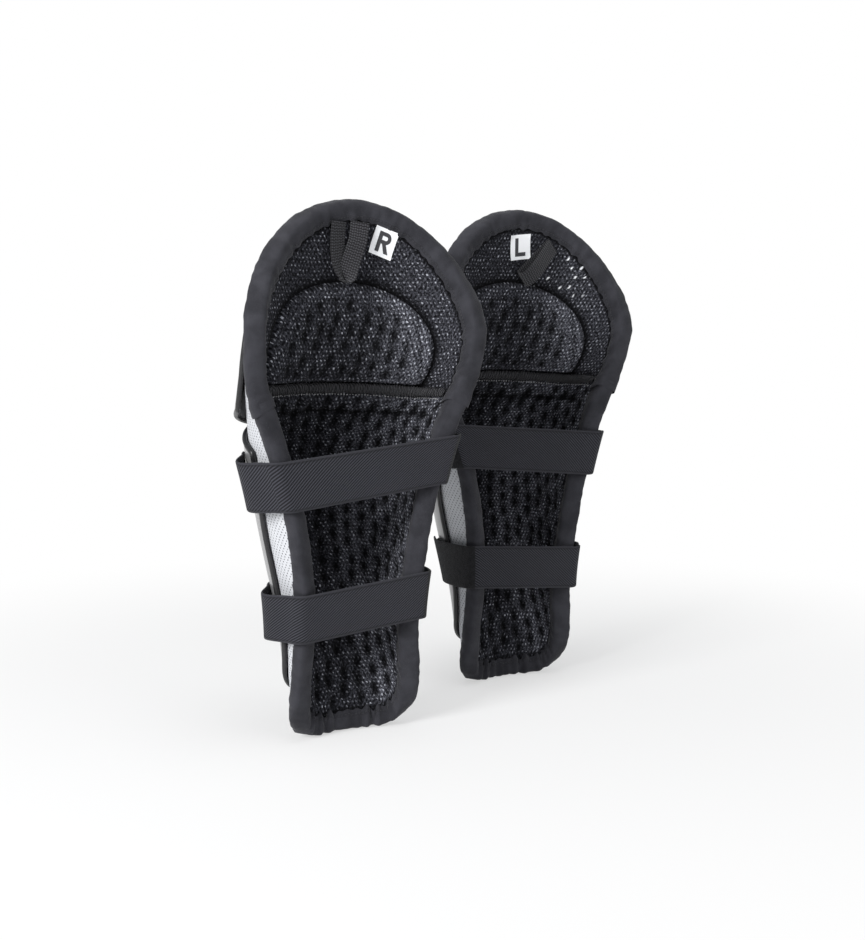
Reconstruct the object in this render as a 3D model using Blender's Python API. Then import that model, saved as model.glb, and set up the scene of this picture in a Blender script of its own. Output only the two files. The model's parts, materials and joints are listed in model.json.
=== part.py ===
"""A pair of padded knee-and-shin guards, right and left, standing side by side.

Each guard is a flat sewing pattern wrapped on a leg form. A point of the pattern has a girth
(distance round the leg from the front centre line) and a height, and a layer has a lift, its
distance outside the face of the cover. +Y is the front of the leg, +Z is up, units are metres.
"""
import math

import bmesh
import bpy
import numpy as np
from mathutils import Vector

# Where the left guard stands beside the right one
PAIR_SIDE_STEP = 0.198
PAIR_FRONT_STEP = 0.079

# Leg form: height, half width between the rims, depth from rims to front, wrap angle in degrees,
# setback of the rims; the hem itself stands upright
LEG_STATIONS = np.array((
    (0.000, 0.0525, 0.0290, 88.0, 0.0000),
    (0.016, 0.0524, 0.0292, 89.5, 0.0001),
    (0.045, 0.0510, 0.0405, 101.0, 0.0030),
    (0.090, 0.0477, 0.0655, 113.0, 0.0078),
    (0.140, 0.0517, 0.0875, 118.5, 0.0125),
    (0.190, 0.0618, 0.0940, 115.5, 0.0142),
    (0.235, 0.0775, 0.0885, 102.0, 0.0148),
    (0.270, 0.0925, 0.0710, 86.0, 0.0195),
    (0.305, 0.0978, 0.0570, 76.0, 0.0265),
    (0.355, 0.0985, 0.0500, 70.0, 0.0335),
    (0.407, 0.0970, 0.0480, 66.0, 0.0392),
))
SECTION_POWER = 2.2

# Pattern: the rounded knee lobe, the hem corners and the flex seam between knee and shin
GUARD_HEIGHT = 0.407
KNEE_WIDEST_HEIGHT = 0.298
KNEE_SHOULDER_SHARE = 0.42
HEM_CORNER_RADIUS = 0.038
SEAM_HEIGHT = 0.272
SEAM_DROP = 0.014
SEAM_GAP = 0.0012

# Layers, from the outside in
COVER_THICKNESS = 0.0012
FOAM_THICKNESS = 0.0072
LINER_THICKNESS = 0.0020
SEAT_GAP = 0.0003

# Edge binding, a folded tape with a flange on each side
BINDING_THICKNESS = 0.0012
BINDING_GAP = 0.0013
BINDING_INNER_FLANGE = 0.011
BINDING_OUTER_FLANGE = 0.008
BINDING_CORNER = 0.0006

# Plastic shells, which stand clear of the cover's facets
SHELL_THICKNESS = 0.0028
SHELL_LIFT = 0.0011
SHIN_SHELL_FOOT = 0.036
SHIN_SHELL_HEAD = 0.243
SHIN_SHELL_FOOT_RADIUS = 0.030
SHIN_SHELL_HEAD_DROP = 0.022
SHELL_KEEL_HEIGHT = 0.0030
SHELL_KEEL_WIDTH = 0.018
SHELL_KEEL_FADE = 0.054
SHELL_CORNER_SHARE = 0.18
KNEE_CAP_FOOT = 0.232
KNEE_CAP_FOOT_RISE = 0.024
KNEE_CAP_HEAD_DROP = 0.029
KNEE_CAP_SIDE_PANEL = 0.0261
KNEE_CAP_SHOULDER_TURN = 48.0
KNEE_CAP_LIP_LIFT = 0.0056
KNEE_CAP_LIP_TOP = 0.282
KNEE_CAP_LIP_FLAT = 0.008
RIM_TRIM_WIDTH = 0.0028
RIM_TRIM_STAND = 0.0006

# White side panel left bare between the rim and the shin shell: height, width
SIDE_PANEL = np.array((
    (0.036, 0.017),
    (0.075, 0.0235),
    (0.120, 0.0345),
    (0.160, 0.0405),
    (0.200, 0.0340),
    (0.250, 0.023),
))

# Raised knee pad inside, tufted
KNEE_PAD_HALF_WIDTH = 0.080
KNEE_PAD_CENTRE_HEIGHT = 0.286
KNEE_PAD_HEAD_DROP = 0.061
KNEE_PAD_LOW_TURN = -14.0
KNEE_PAD_SHOULDER_TURN = 44.0
KNEE_PAD_THICKNESS = 0.0060
KNEE_PAD_GAP = 0.0007
KNEE_PAD_EDGE = 0.0018
KNEE_PAD_TUFT_DEPTH = 0.0018

# Flex seam roll and side label; a label's place is its girth, its drop below the crown and its turn
WELT_RADIUS = 0.0025
LABEL_SIZE = 0.0205
LABEL_THICKNESS = 0.0006
RIGHT_LABEL_PLACE = (0.0260, 0.0305, -18.0)
LEFT_LABEL_PLACE = (-0.0010, 0.0300, -5.0)

# Pull loop: the right one stands up from the lining, the left one lies folded over to the side
LOOP_WEBBING_WIDTH = 0.014
LOOP_WEBBING_THICKNESS = 0.0014
STANDING_LOOP_ROOT_DROP = 0.0155
STANDING_LOOP_LENGTH = 0.041
STANDING_LOOP_SPREAD = 0.019
STANDING_LOOP_SIDE = -0.0060
STANDING_LOOP_PINCH = 0.6
STANDING_LOOP_SWAY = 0.005
STANDING_LOOP_ROOT_LEAN = 35.0
FOLDED_LOOP_ROOT_DROP = 0.0285
FOLDED_LOOP_LENGTH = 0.040
FOLDED_LOOP_SIDE = -0.0330
FOLDED_LOOP_SLANT = 48.0
FOLDED_LOOP_BULGE = 0.0095
FOLDED_LOOP_ROOT_GAP = 0.0024
FOLDED_LOOP_FLAT_SHARE = 0.4

# Straps: name, height at the fixed inner side of the leg, height at the outer side, reach on the shell
STRAPS = (
    ("upper", 0.200, 0.213, 0.064),
    ("lower", 0.0985, 0.1075, 0.062),
)
STRAP_WIDTH = 0.038
STRAP_THICKNESS = 0.0018
STRAP_SEAT_GAP = 0.0009
STRAP_BEND_RADIUS = 0.0082
STRAP_BEND_START = 0.004
STRAP_BULGE = 0.0090
STRAP_SEWN_SHARE = 0.2
STRAP_JOINT_GAP = 0.0010
HOOK_PATCH_LENGTH = 0.018
HOOK_PATCH_WIDTH = 0.032
HOOK_PATCH_THICKNESS = 0.0010

# Grid counts
SHIN_COLUMNS = 16
SHIN_ROW_PLACES = np.concatenate([(0.0, 0.035, 0.075, 0.125), np.linspace(0.2, 1.0, 9)])
KNEE_COLUMNS, KNEE_ROWS = 16, 7
SHELL_COLUMNS, SHELL_ROWS = 14, 12
CAP_COLUMNS, CAP_ROWS = 12, 8
PAD_COLUMNS, PAD_ROWS = 16, 8
STRAP_STATIONS, STRAP_BEND_STATIONS, STRAP_SPAN_STATIONS = 9, 6, 7
LOOP_STATIONS = 17
LABEL_GRID = 3
PATCH_COLUMNS, PATCH_ROWS = 4, 3
SECTION_SAMPLES = 81
SHARP_ANGLE = math.radians(40)

# Lifts of the faces between the layers
FOAM_OUTER_LIFT = -(COVER_THICKNESS + SEAT_GAP)
FOAM_INNER_LIFT = FOAM_OUTER_LIFT - FOAM_THICKNESS
LINER_OUTER_LIFT = FOAM_INNER_LIFT - SEAT_GAP
LINER_INNER_LIFT = LINER_OUTER_LIFT - LINER_THICKNESS
SHELL_FACE_LIFT = SHELL_LIFT + SHELL_THICKNESS
HOOK_PATCH_LIFT = SHELL_FACE_LIFT + STRAP_SEAT_GAP
STRAP_RIM_LIFT = HOOK_PATCH_LIFT + HOOK_PATCH_THICKNESS + STRAP_SEAT_GAP
HEM_HEIGHT = BINDING_THICKNESS + BINDING_GAP
CROWN_HEIGHT = GUARD_HEIGHT - HEM_HEIGHT
KNEE_CAP_HEAD = GUARD_HEIGHT - KNEE_CAP_HEAD_DROP
KNEE_PAD_RISE = GUARD_HEIGHT - KNEE_PAD_HEAD_DROP - KNEE_PAD_CENTRE_HEIGHT
SHARES = np.linspace(0.0, 1.0, SECTION_SAMPLES)
STEP = 0.001

BLACK_MESH = (0.018, 0.018, 0.020)
CHARCOAL = (0.030, 0.030, 0.034)
WHITE = (0.80, 0.81, 0.82)
GREY_PLASTIC = (0.22, 0.22, 0.23)
GLOSS_BLACK = (0.015, 0.015, 0.016)
FOAM_GREY = (0.10, 0.10, 0.11)


def unit(vector):
    """The vector at length one."""
    return vector / np.linalg.norm(vector)


def unit_rows(vectors):
    """Each vector at length one."""
    return vectors / np.linalg.norm(vectors, axis=-1, keepdims=True)


def flat_unit(vector):
    """Unit vector in plan."""
    return unit(vector * np.array((1.0, 1.0, 0.0)))


def smooth_step(value):
    """Ease from 0 to 1."""
    value = np.clip(value, 0.0, 1.0)
    return value * value * (3.0 - 2.0 * value)


def smooth_curve(knots, values, at):
    """A smooth curve through the given points, read at some places."""
    steps = np.diff(knots)
    slopes = np.diff(values) / steps
    tangents = np.empty_like(values)
    tangents[0] = slopes[0]
    tangents[-1] = slopes[-1]
    tangents[1:-1] = (slopes[:-1] * steps[1:] + slopes[1:] * steps[:-1]) / (steps[:-1] + steps[1:])
    at = np.clip(at, knots[0], knots[-1])
    i = np.clip(np.searchsorted(knots, at) - 1, 0, len(knots) - 2)
    t = (at - knots[i]) / steps[i]
    start = (2 * t**3 - 3 * t**2 + 1) * values[i] + (t**3 - 2 * t**2 + t) * steps[i] * tangents[i]
    end = (3 * t**2 - 2 * t**3) * values[i + 1] + (t**3 - t**2) * steps[i] * tangents[i + 1]
    return start + end


def station(height, column):
    """One column of the leg stations at a height."""
    return smooth_curve(LEG_STATIONS[:, 0], LEG_STATIONS[:, column], height)


def back_lean(height):
    """How far the rims stand back at a height."""
    return station(height, 4)


def section(share, height):
    """Plan point of the cover's face: share runs from 0 at the front to 1 at the rim."""
    half_width = station(height, 1)
    depth = station(height, 2)
    wrap_angle = np.radians(station(height, 3))
    power = 2.0 / SECTION_POWER
    angle = wrap_angle * share
    across = np.abs(np.sin(angle)) ** power / np.sin(wrap_angle) ** power
    along = np.sign(np.cos(angle)) * np.abs(np.cos(angle)) ** power
    rim_along = np.sign(np.cos(wrap_angle)) * np.abs(np.cos(wrap_angle)) ** power
    x = half_width * np.sign(share) * across
    y = depth * (along - rim_along) / (1.0 - rim_along) - back_lean(height)
    return np.stack(np.broadcast_arrays(x, y), -1)


def girth_table(height):
    """Girth at each section sample, for an array of heights."""
    points = section(SHARES[None, :], height[:, None])
    lengths = np.linalg.norm(np.diff(points, axis=1), axis=2)
    return np.concatenate([np.zeros((len(height), 1)), np.cumsum(lengths, 1)], 1)


def rim_girth(height):
    """Half girth from the front centre line to the rim."""
    height = np.atleast_1d(np.asarray(height, float))
    return girth_table(np.clip(height, 0.0, GUARD_HEIGHT))[:, -1]


def lobe_girth(height, chord_share):
    """Girth at a share of the half width."""
    height = np.atleast_1d(np.asarray(height, float))
    table = girth_table(height)[0]
    across = section(SHARES, height[0])[:, 0]
    return np.interp(chord_share * across[-1], across, table)


def wrap(girth, height):
    """Points of the cover's face for pattern points."""
    girth, height = np.broadcast_arrays(np.asarray(girth, float), np.asarray(height, float))
    shape = girth.shape
    girth = girth.ravel()
    height = height.ravel()
    level = np.clip(height, 0.0, GUARD_HEIGHT)
    table = girth_table(level)
    share = np.empty_like(girth)
    for i, reach in enumerate(np.abs(girth)):
        row = table[i]
        past_rim = (reach - row[-1]) / (row[-1] - row[-2]) * (SHARES[-1] - SHARES[-2])
        share[i] = np.interp(reach, row, SHARES) + max(past_rim, 0.0)
    plan = section(np.sign(girth) * share, level)
    return np.column_stack([plan, height]).reshape(shape + (3,))


def on_form(girth, height, lift):
    """Points at a lift outside the cover's face."""
    girth, height, lift = np.broadcast_arrays(*(np.asarray(v, float) for v in (girth, height, lift)))
    round_leg = wrap(girth + STEP, height) - wrap(girth - STEP, height)
    up_leg = wrap(girth, height + STEP) - wrap(girth, height - STEP)
    return wrap(girth, height) + unit_rows(np.cross(up_leg, round_leg)) * lift[..., None]


def seam_height(girth_share):
    """The flex seam is arched: highest at the front, lowest at the rims."""
    return SEAM_HEIGHT - SEAM_DROP * girth_share**2


def coons_patch(bottom, right, top, left, columns, up):
    """Pattern grid between four edges, each a function of 0 to 1 that gives (girth, height)."""
    across = np.linspace(0.0, 1.0, columns + 1)
    low = np.array([bottom(t) for t in across])[None, :, :]
    high = np.array([top(t) for t in across])[None, :, :]
    west = np.array([left(t) for t in up])[:, None, :]
    east = np.array([right(t) for t in up])[:, None, :]
    u = across[None, :, None]
    v = up[:, None, None]
    sides = (1 - v) * low + v * high + (1 - u) * west + u * east
    corners = (1 - u) * (1 - v) * low[:, :1] + u * (1 - v) * low[:, -1:]
    corners = corners + (1 - u) * v * high[:, :1] + u * v * high[:, -1:]
    return sides - corners


def even_rows(count):
    """Rows at equal places from 0 to 1."""
    return np.linspace(0.0, 1.0, count + 1)


def mirrored_edge(edge):
    """The same edge on the other side of the front centre line."""
    return lambda t: (-edge(t)[0], edge(t)[1])


def shin_outline(distance):
    """Pattern point at a distance along the hem and up the side, from the hem's middle."""
    flat = float(rim_girth(HEM_HEIGHT)[0]) - HEM_CORNER_RADIUS
    corner = HEM_CORNER_RADIUS * math.pi / 2
    if distance <= flat:
        return distance, HEM_HEIGHT
    if distance <= flat + corner:
        turn = (distance - flat) / HEM_CORNER_RADIUS
        height = HEM_HEIGHT + HEM_CORNER_RADIUS * (1 - math.cos(turn))
        return float(rim_girth(height)[0]) - HEM_CORNER_RADIUS * (1 - math.sin(turn)), height
    height = HEM_HEIGHT + HEM_CORNER_RADIUS + distance - flat - corner
    return float(rim_girth(height)[0]), height


def shin_pattern():
    """Grid over the shin panel, from the hem to the flex seam."""
    flat = float(rim_girth(HEM_HEIGHT)[0]) - HEM_CORNER_RADIUS
    corner = flat + HEM_CORNER_RADIUS * math.pi / 4
    seam_end = seam_height(1.0) - SEAM_GAP / 2
    end = flat + HEM_CORNER_RADIUS * (math.pi / 2 - 1) + seam_end - HEM_HEIGHT

    def bottom(t):
        girth, height = shin_outline(abs(2 * t - 1) * corner)
        return math.copysign(girth, 2 * t - 1), height

    def right(t):
        return shin_outline(corner + t * (end - corner))

    def top(t):
        height = seam_height(2 * t - 1) - SEAM_GAP / 2
        return (2 * t - 1) * float(rim_girth(height)[0]), height

    return coons_patch(bottom, right, top, mirrored_edge(right), SHIN_COLUMNS, SHIN_ROW_PLACES)


def knee_outline(share):
    """Pattern point of the knee lobe: 0 at the crown, 1 at the end of the flex seam."""
    crown_rise = CROWN_HEIGHT - KNEE_WIDEST_HEIGHT
    widest = float(rim_girth(KNEE_WIDEST_HEIGHT)[0])
    quarter = math.pi / 4 * (crown_rise + widest)
    seam_end = seam_height(1.0) + SEAM_GAP / 2
    distance = share * (quarter + KNEE_WIDEST_HEIGHT - seam_end)
    if distance < quarter:
        angle = math.pi / 2 * (1 - distance / quarter)
        height = KNEE_WIDEST_HEIGHT + crown_rise * math.sin(angle)
        return lobe_girth(height, math.cos(angle)), height
    height = KNEE_WIDEST_HEIGHT - (distance - quarter)
    return float(rim_girth(height)[0]), height


def knee_pattern():
    """Grid over the knee lobe, from the flex seam to the crown."""

    def bottom(t):
        height = seam_height(2 * t - 1) + SEAM_GAP / 2
        return (2 * t - 1) * float(rim_girth(height)[0]), height

    def right(t):
        return knee_outline(1 - t * (1 - KNEE_SHOULDER_SHARE))

    def top(t):
        girth, height = knee_outline(abs(2 * t - 1) * KNEE_SHOULDER_SHARE)
        return math.copysign(girth, 2 * t - 1), height

    return coons_patch(bottom, right, top, mirrored_edge(right), KNEE_COLUMNS, even_rows(KNEE_ROWS))


def shin_shell_half_girth(height):
    """The shin shell leaves the side panel bare between its edge and the rim."""
    bare = smooth_curve(SIDE_PANEL[:, 0], SIDE_PANEL[:, 1], np.atleast_1d(height))
    return float((rim_girth(height) - bare)[0])


def shin_shell_pattern():
    """Grid over the shin shell: rounded foot, arched head under the knee cap's lip."""
    corner_turn = math.pi / 4
    foot_top = SHIN_SHELL_FOOT + SHIN_SHELL_FOOT_RADIUS
    foot_flat = shin_shell_half_girth(SHIN_SHELL_FOOT) - SHIN_SHELL_FOOT_RADIUS

    def foot_corner(turn):
        height = SHIN_SHELL_FOOT + SHIN_SHELL_FOOT_RADIUS * (1 - math.cos(turn))
        return shin_shell_half_girth(height) - SHIN_SHELL_FOOT_RADIUS * (1 - math.sin(turn)), height

    def bottom(t):
        reach = abs(2 * t - 1) * (foot_flat + SHIN_SHELL_FOOT_RADIUS * corner_turn)
        girth, height = reach, SHIN_SHELL_FOOT
        if reach > foot_flat:
            girth, height = foot_corner((reach - foot_flat) / SHIN_SHELL_FOOT_RADIUS)
        return math.copysign(girth, 2 * t - 1), height

    def right(t):
        if t < SHELL_CORNER_SHARE:
            return foot_corner(corner_turn * (1 + t / SHELL_CORNER_SHARE))
        head_side = SHIN_SHELL_HEAD - SHIN_SHELL_HEAD_DROP
        height = foot_top + (t - SHELL_CORNER_SHARE) / (1 - SHELL_CORNER_SHARE) * (head_side - foot_top)
        return shin_shell_half_girth(height), height

    def top(t):
        height = SHIN_SHELL_HEAD - SHIN_SHELL_HEAD_DROP * (2 * t - 1) ** 2
        return (2 * t - 1) * shin_shell_half_girth(height), height

    return coons_patch(bottom, right, top, mirrored_edge(right), SHELL_COLUMNS, even_rows(SHELL_ROWS))


def knee_cap_pattern():
    """Grid over the knee cap: an oval whose foot is a shallow lip over the shin shell."""
    side_height = KNEE_CAP_FOOT + KNEE_CAP_FOOT_RISE
    half_width = float(rim_girth(side_height)[0]) - KNEE_CAP_SIDE_PANEL
    rise = KNEE_CAP_HEAD - side_height
    shoulder = math.radians(KNEE_CAP_SHOULDER_TURN)

    def bottom(t):
        return (2 * t - 1) * half_width, KNEE_CAP_FOOT + KNEE_CAP_FOOT_RISE * (2 * t - 1) ** 2

    def right(t):
        angle = t * shoulder
        return half_width * math.cos(angle), side_height + rise * math.sin(angle)

    def top(t):
        angle = math.pi - shoulder - t * (math.pi - 2 * shoulder)
        return half_width * math.cos(angle), side_height + rise * math.sin(angle)

    return coons_patch(bottom, right, top, mirrored_edge(right), CAP_COLUMNS, even_rows(CAP_ROWS))


def knee_pad_pattern():
    """Grid over the D-shaped knee pad above the flex seam."""
    low_turn = math.radians(KNEE_PAD_LOW_TURN)
    shoulder = math.radians(KNEE_PAD_SHOULDER_TURN)

    def arch(angle):
        girth = KNEE_PAD_HALF_WIDTH * math.cos(angle)
        return girth, KNEE_PAD_CENTRE_HEIGHT + KNEE_PAD_RISE * math.sin(angle)

    def right(t):
        return arch(low_turn + t * (shoulder - low_turn))

    def top(t):
        return arch(math.pi - shoulder - t * (math.pi - 2 * shoulder))

    def bottom(t):
        reach, low = arch(low_turn)
        centre = seam_height(0.0) + SEAM_GAP / 2 + 2 * WELT_RADIUS
        return (2 * t - 1) * reach, centre + (low - centre) * (2 * t - 1) ** 2

    return coons_patch(bottom, right, top, mirrored_edge(right), PAD_COLUMNS, even_rows(PAD_ROWS))


def shin_shell_lift(pattern):
    """A keel down the middle of the shell, which fades under the knee cap."""
    fade = smooth_step((SHIN_SHELL_HEAD - pattern[..., 1]) / SHELL_KEEL_FADE)
    return SHELL_LIFT + SHELL_KEEL_HEIGHT * fade * np.exp(-(pattern[..., 0] / SHELL_KEEL_WIDTH) ** 2)


def knee_cap_lift(pattern):
    """The cap's foot flares out into a lip that stands over the shin shell."""
    flare = KNEE_CAP_LIP_TOP - KNEE_CAP_FOOT - KNEE_CAP_LIP_FLAT
    return SHELL_LIFT + KNEE_CAP_LIP_LIFT * smooth_step((KNEE_CAP_LIP_TOP - pattern[..., 1]) / flare)


def make_material(name, colour, roughness, metallic=0.0):
    """A plain surface of one colour."""
    material = bpy.data.materials.new(name)
    material.use_nodes = True
    surface = material.node_tree.nodes["Principled BSDF"]
    surface.inputs["Base Color"].default_value = (*colour, 1.0)
    surface.inputs["Roughness"].default_value = roughness
    surface.inputs["Metallic"].default_value = metallic
    return material


class Guard:
    """One guard: its name, its side and the markers that its pieces hang on."""

    def __init__(self, name, side, collection):
        self.name = name
        self.side = side
        self.collection = collection
        self.markers = {}
        self.points = {}
        self.add_marker("base", (0.0, 0.0, 0.0), None)

    def add_marker(self, key, point, parent):
        """An empty on a joint's axis, in the guard's own frame."""
        marker = bpy.data.objects.new(f"{self.name}_{key}_axis", None)
        marker.empty_display_size = 0.02
        self.collection.objects.link(marker)
        start = Vector((0.0, 0.0, 0.0))
        if parent:
            marker.parent = self.markers[parent]
            start = self.points[parent]
        self.points[key] = Vector(point)
        marker.location = self.points[key] - start
        self.markers[key] = marker

    def place(self, piece, mesh, marker, colour, roughness):
        """Put a mesh or curve in the collection, on its marker, with its own material."""
        name = f"{self.name}_{piece}"
        mesh.name = name
        mesh.materials.append(make_material(name, colour, roughness))
        part = bpy.data.objects.new(name, mesh)
        self.collection.objects.link(part)
        part.parent = self.markers[marker]
        part.location = -self.points[marker]
        return part

    def handed(self, points):
        """Points drawn for the right guard, mirrored with their columns turned for the left one."""
        if self.side > 0:
            return points
        return (points * np.array((-1.0, 1.0, 1.0)))[:, ::-1]


def slab_mesh(inner, outer):
    """A sheet with thickness: a grid on the inner face, extruded to the outer face."""
    rows, columns = inner.shape[0] - 1, inner.shape[1] - 1
    slab = bmesh.new()
    bmesh.ops.create_grid(slab, x_segments=columns, y_segments=rows, size=1.0)
    near = list(slab.verts)
    raised = bmesh.ops.extrude_face_region(slab, geom=list(slab.faces), use_keep_orig=True)
    far = [item for item in raised["geom"] if isinstance(item, bmesh.types.BMVert)]
    for vertices, points in ((near, inner), (far, outer)):
        for vertex in vertices:
            column = round((vertex.co.x + 1) / 2 * columns)
            row = round((vertex.co.y + 1) / 2 * rows)
            vertex.co = points[row, column]
    bmesh.ops.recalc_face_normals(slab, faces=slab.faces)
    return finished_mesh(slab)


def loft_mesh(rings, closed):
    """A skin over equal rings of points, joined end to end or capped."""
    skin = bmesh.new()
    loops = [[skin.verts.new(point) for point in ring] for ring in rings]
    count = len(loops[0])
    spans = len(loops) if closed else len(loops) - 1
    for i in range(spans):
        here, there = loops[i], loops[(i + 1) % len(loops)]
        for k in range(count):
            skin.faces.new((here[k], here[(k + 1) % count], there[(k + 1) % count], there[k]))
    if not closed:
        skin.faces.new(reversed(loops[0]))
        skin.faces.new(loops[-1])
    bmesh.ops.recalc_face_normals(skin, faces=skin.faces)
    return finished_mesh(skin)


def finished_mesh(form):
    """Turn an edit mesh into mesh data, smooth but for its sharp edges."""
    mesh = bpy.data.meshes.new("form")
    form.to_mesh(mesh)
    form.free()
    mesh.shade_smooth()
    mesh.set_sharp_from_angle(angle=SHARP_ANGLE)
    return mesh


class Facets:
    """The flat facets of a layer's grid, on which the pieces that touch it are laid."""

    def __init__(self, pattern):
        self.pattern = pattern
        low_left, low_right = pattern[:-1, :-1], pattern[:-1, 1:]
        high_left, high_right = pattern[1:, :-1], pattern[1:, 1:]
        lower = np.stack([low_left, low_right, high_right], 2).reshape(-1, 3, 2)
        upper = np.stack([low_left, high_right, high_left], 2).reshape(-1, 3, 2)
        self.corners = np.concatenate([lower, upper])

    def at(self, girth, height, lift):
        """Points on the facets at one lift, for arrays of girths and heights."""
        shape = np.shape(girth)
        targets = np.column_stack([np.ravel(girth), np.ravel(height)])
        a, b, c = (self.corners[:, k] for k in range(3))
        area = np.cross(b - a, c - a)
        solid = on_form(self.corners[..., 0], self.corners[..., 1], lift)
        points = []
        for target in targets:
            first = np.cross(b - target, c - target) / area
            second = np.cross(c - target, a - target) / area
            weights = np.stack([first, second, 1.0 - first - second], 1)
            best = int(np.argmax(weights.min(1)))
            points.append(weights[best] @ solid[best])
        return np.array(points).reshape(shape + (3,))


def inward_normals(path, closed):
    """Unit pattern normals on the left of a path."""
    if closed:
        along = np.roll(path, -1, 0) - np.roll(path, 1, 0)
    else:
        along = np.gradient(path, axis=0)
    along /= np.linalg.norm(along, axis=1, keepdims=True)
    return np.column_stack([-along[:, 1], along[:, 0]])


def binding_profile():
    """Folded tape: a slot for the layers, with a flange inside and one outside."""
    wall = -(BINDING_GAP + BINDING_THICKNESS)
    slot_in = LINER_INNER_LIFT - BINDING_GAP
    slot_out = BINDING_GAP
    face_in = slot_in - BINDING_THICKNESS
    face_out = slot_out + BINDING_THICKNESS
    return (
        (BINDING_INNER_FLANGE, slot_in),
        (-BINDING_GAP, slot_in),
        (-BINDING_GAP, slot_out),
        (BINDING_OUTER_FLANGE, slot_out),
        (BINDING_OUTER_FLANGE, face_out),
        (wall + BINDING_CORNER, face_out),
        (wall, face_out - BINDING_CORNER),
        (wall, face_in + BINDING_CORNER),
        (wall + BINDING_CORNER, face_in),
        (BINDING_INNER_FLANGE, face_in),
    )


def add_layers(guard, region, pattern, marker):
    """Cover, foam and liner of one region."""
    layers = (
        ("cover", 0.0, COVER_THICKNESS, WHITE, 0.8),
        ("foam", FOAM_OUTER_LIFT, FOAM_THICKNESS, FOAM_GREY, 0.95),
        ("liner", LINER_OUTER_LIFT, LINER_THICKNESS, BLACK_MESH, 0.9),
    )
    for layer, outer_lift, thickness, colour, roughness in layers:
        outer = on_form(pattern[..., 0], pattern[..., 1], outer_lift)
        inner = on_form(pattern[..., 0], pattern[..., 1], outer_lift - thickness)
        guard.place(f"{region}_{layer}", slab_mesh(inner, outer), marker, colour, roughness)


def add_binding(guard, region, pattern, path, seam_runs, marker):
    """Edge binding along the free edge of a region, whose two ends follow the flex seam."""
    facets = Facets(pattern)
    normals = inward_normals(path, False)
    normals[0], normals[-1] = seam_runs
    columns = []
    for inset, lift in binding_profile():
        girth, height = (path + normals * inset).T
        seat = facets.at if inset > 0.0 else on_form
        columns.append(seat(girth, height, lift))
    rings = np.stack(columns, 1)
    guard.place(f"{region}_binding", loft_mesh(rings, False), marker, CHARCOAL, 0.85)


def add_shell(guard, piece, pattern, lift, marker):
    """A moulded shell and the black trim round its edge."""
    inner = on_form(pattern[..., 0], pattern[..., 1], lift)
    outer = on_form(pattern[..., 0], pattern[..., 1], lift + SHELL_THICKNESS)
    guard.place(piece, slab_mesh(inner, outer), marker, GREY_PLASTIC, 0.3)
    path = np.concatenate([pattern[0, :-1], pattern[:-1, -1], pattern[-1, :0:-1], pattern[:0:-1, 0]])
    edge_lift = np.concatenate([lift[0, :-1], lift[:-1, -1], lift[-1, :0:-1], lift[:0:-1, 0]])
    normals = inward_normals(path, True)
    profile = (
        (-SEAT_GAP, 0.0),
        (-SEAT_GAP, SHELL_THICKNESS + RIM_TRIM_STAND),
        (-SEAT_GAP - RIM_TRIM_WIDTH, SHELL_THICKNESS),
        (-SEAT_GAP - RIM_TRIM_WIDTH, 0.0),
    )
    columns = []
    for inset, stand in profile:
        spots = path + normals * inset
        columns.append(on_form(spots[:, 0], spots[:, 1], edge_lift + stand))
    rings = np.stack(columns, 1)
    guard.place(f"{piece}_trim", loft_mesh(rings, True), marker, GLOSS_BLACK, 0.35)


def add_knee_pad(guard, knee):
    """Tufted pad: a crown that is sunk at every second point of its grid."""
    pattern = knee_pad_pattern()
    girth, height = pattern[..., 0], pattern[..., 1]
    up = np.clip((height - KNEE_PAD_CENTRE_HEIGHT) / KNEE_PAD_RISE, 0.0, 1.0)
    crown = np.sqrt(np.clip(1.0 - (girth / KNEE_PAD_HALF_WIDTH) ** 2 - up**2, 0.0, 1.0))
    rows, columns = np.indices(girth.shape)
    inside = (rows > 0) & (rows < PAD_ROWS) & (columns > 0) & (columns < PAD_COLUMNS)
    tuft = inside & ((rows + columns) % 2 == 0)
    thickness = KNEE_PAD_EDGE + (KNEE_PAD_THICKNESS - KNEE_PAD_EDGE) * crown * inside
    thickness = np.maximum(thickness - KNEE_PAD_TUFT_DEPTH * tuft, KNEE_PAD_EDGE)
    back_lift = LINER_INNER_LIFT - KNEE_PAD_GAP
    back = Facets(knee).at(girth, height, back_lift)
    outward = unit_rows(on_form(girth, height, back_lift + STEP) - on_form(girth, height, back_lift))
    front = back - outward * thickness[..., None]
    guard.place("knee_pad", slab_mesh(front, back), "knee", BLACK_MESH, 0.9)


def add_welt(guard, shin):
    """Rolled welt along the flex seam, between the inner flanges of the binding."""
    top = shin[-1]
    girth_rim = top[-1, 0]
    reach = girth_rim - BINDING_INNER_FLANGE - WELT_RADIUS
    girth = np.unique(np.clip(top[:, 0], -reach, reach))
    height = np.interp(girth, top[:, 0], top[:, 1]) - WELT_RADIUS
    points = Facets(shin).at(girth, height, LINER_INNER_LIFT - SEAT_GAP - WELT_RADIUS)
    curve = bpy.data.curves.new("welt", "CURVE")
    curve.dimensions = "3D"
    line = curve.splines.new("POLY")
    line.points.add(len(points) - 1)
    for place, point in zip(line.points, points):
        place.co = (*point, 1.0)
    curve.bevel_depth = WELT_RADIUS
    curve.bevel_resolution = 2
    curve.use_fill_caps = True
    guard.place("flex_seam_welt", curve, "base", CHARCOAL, 0.85)


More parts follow.
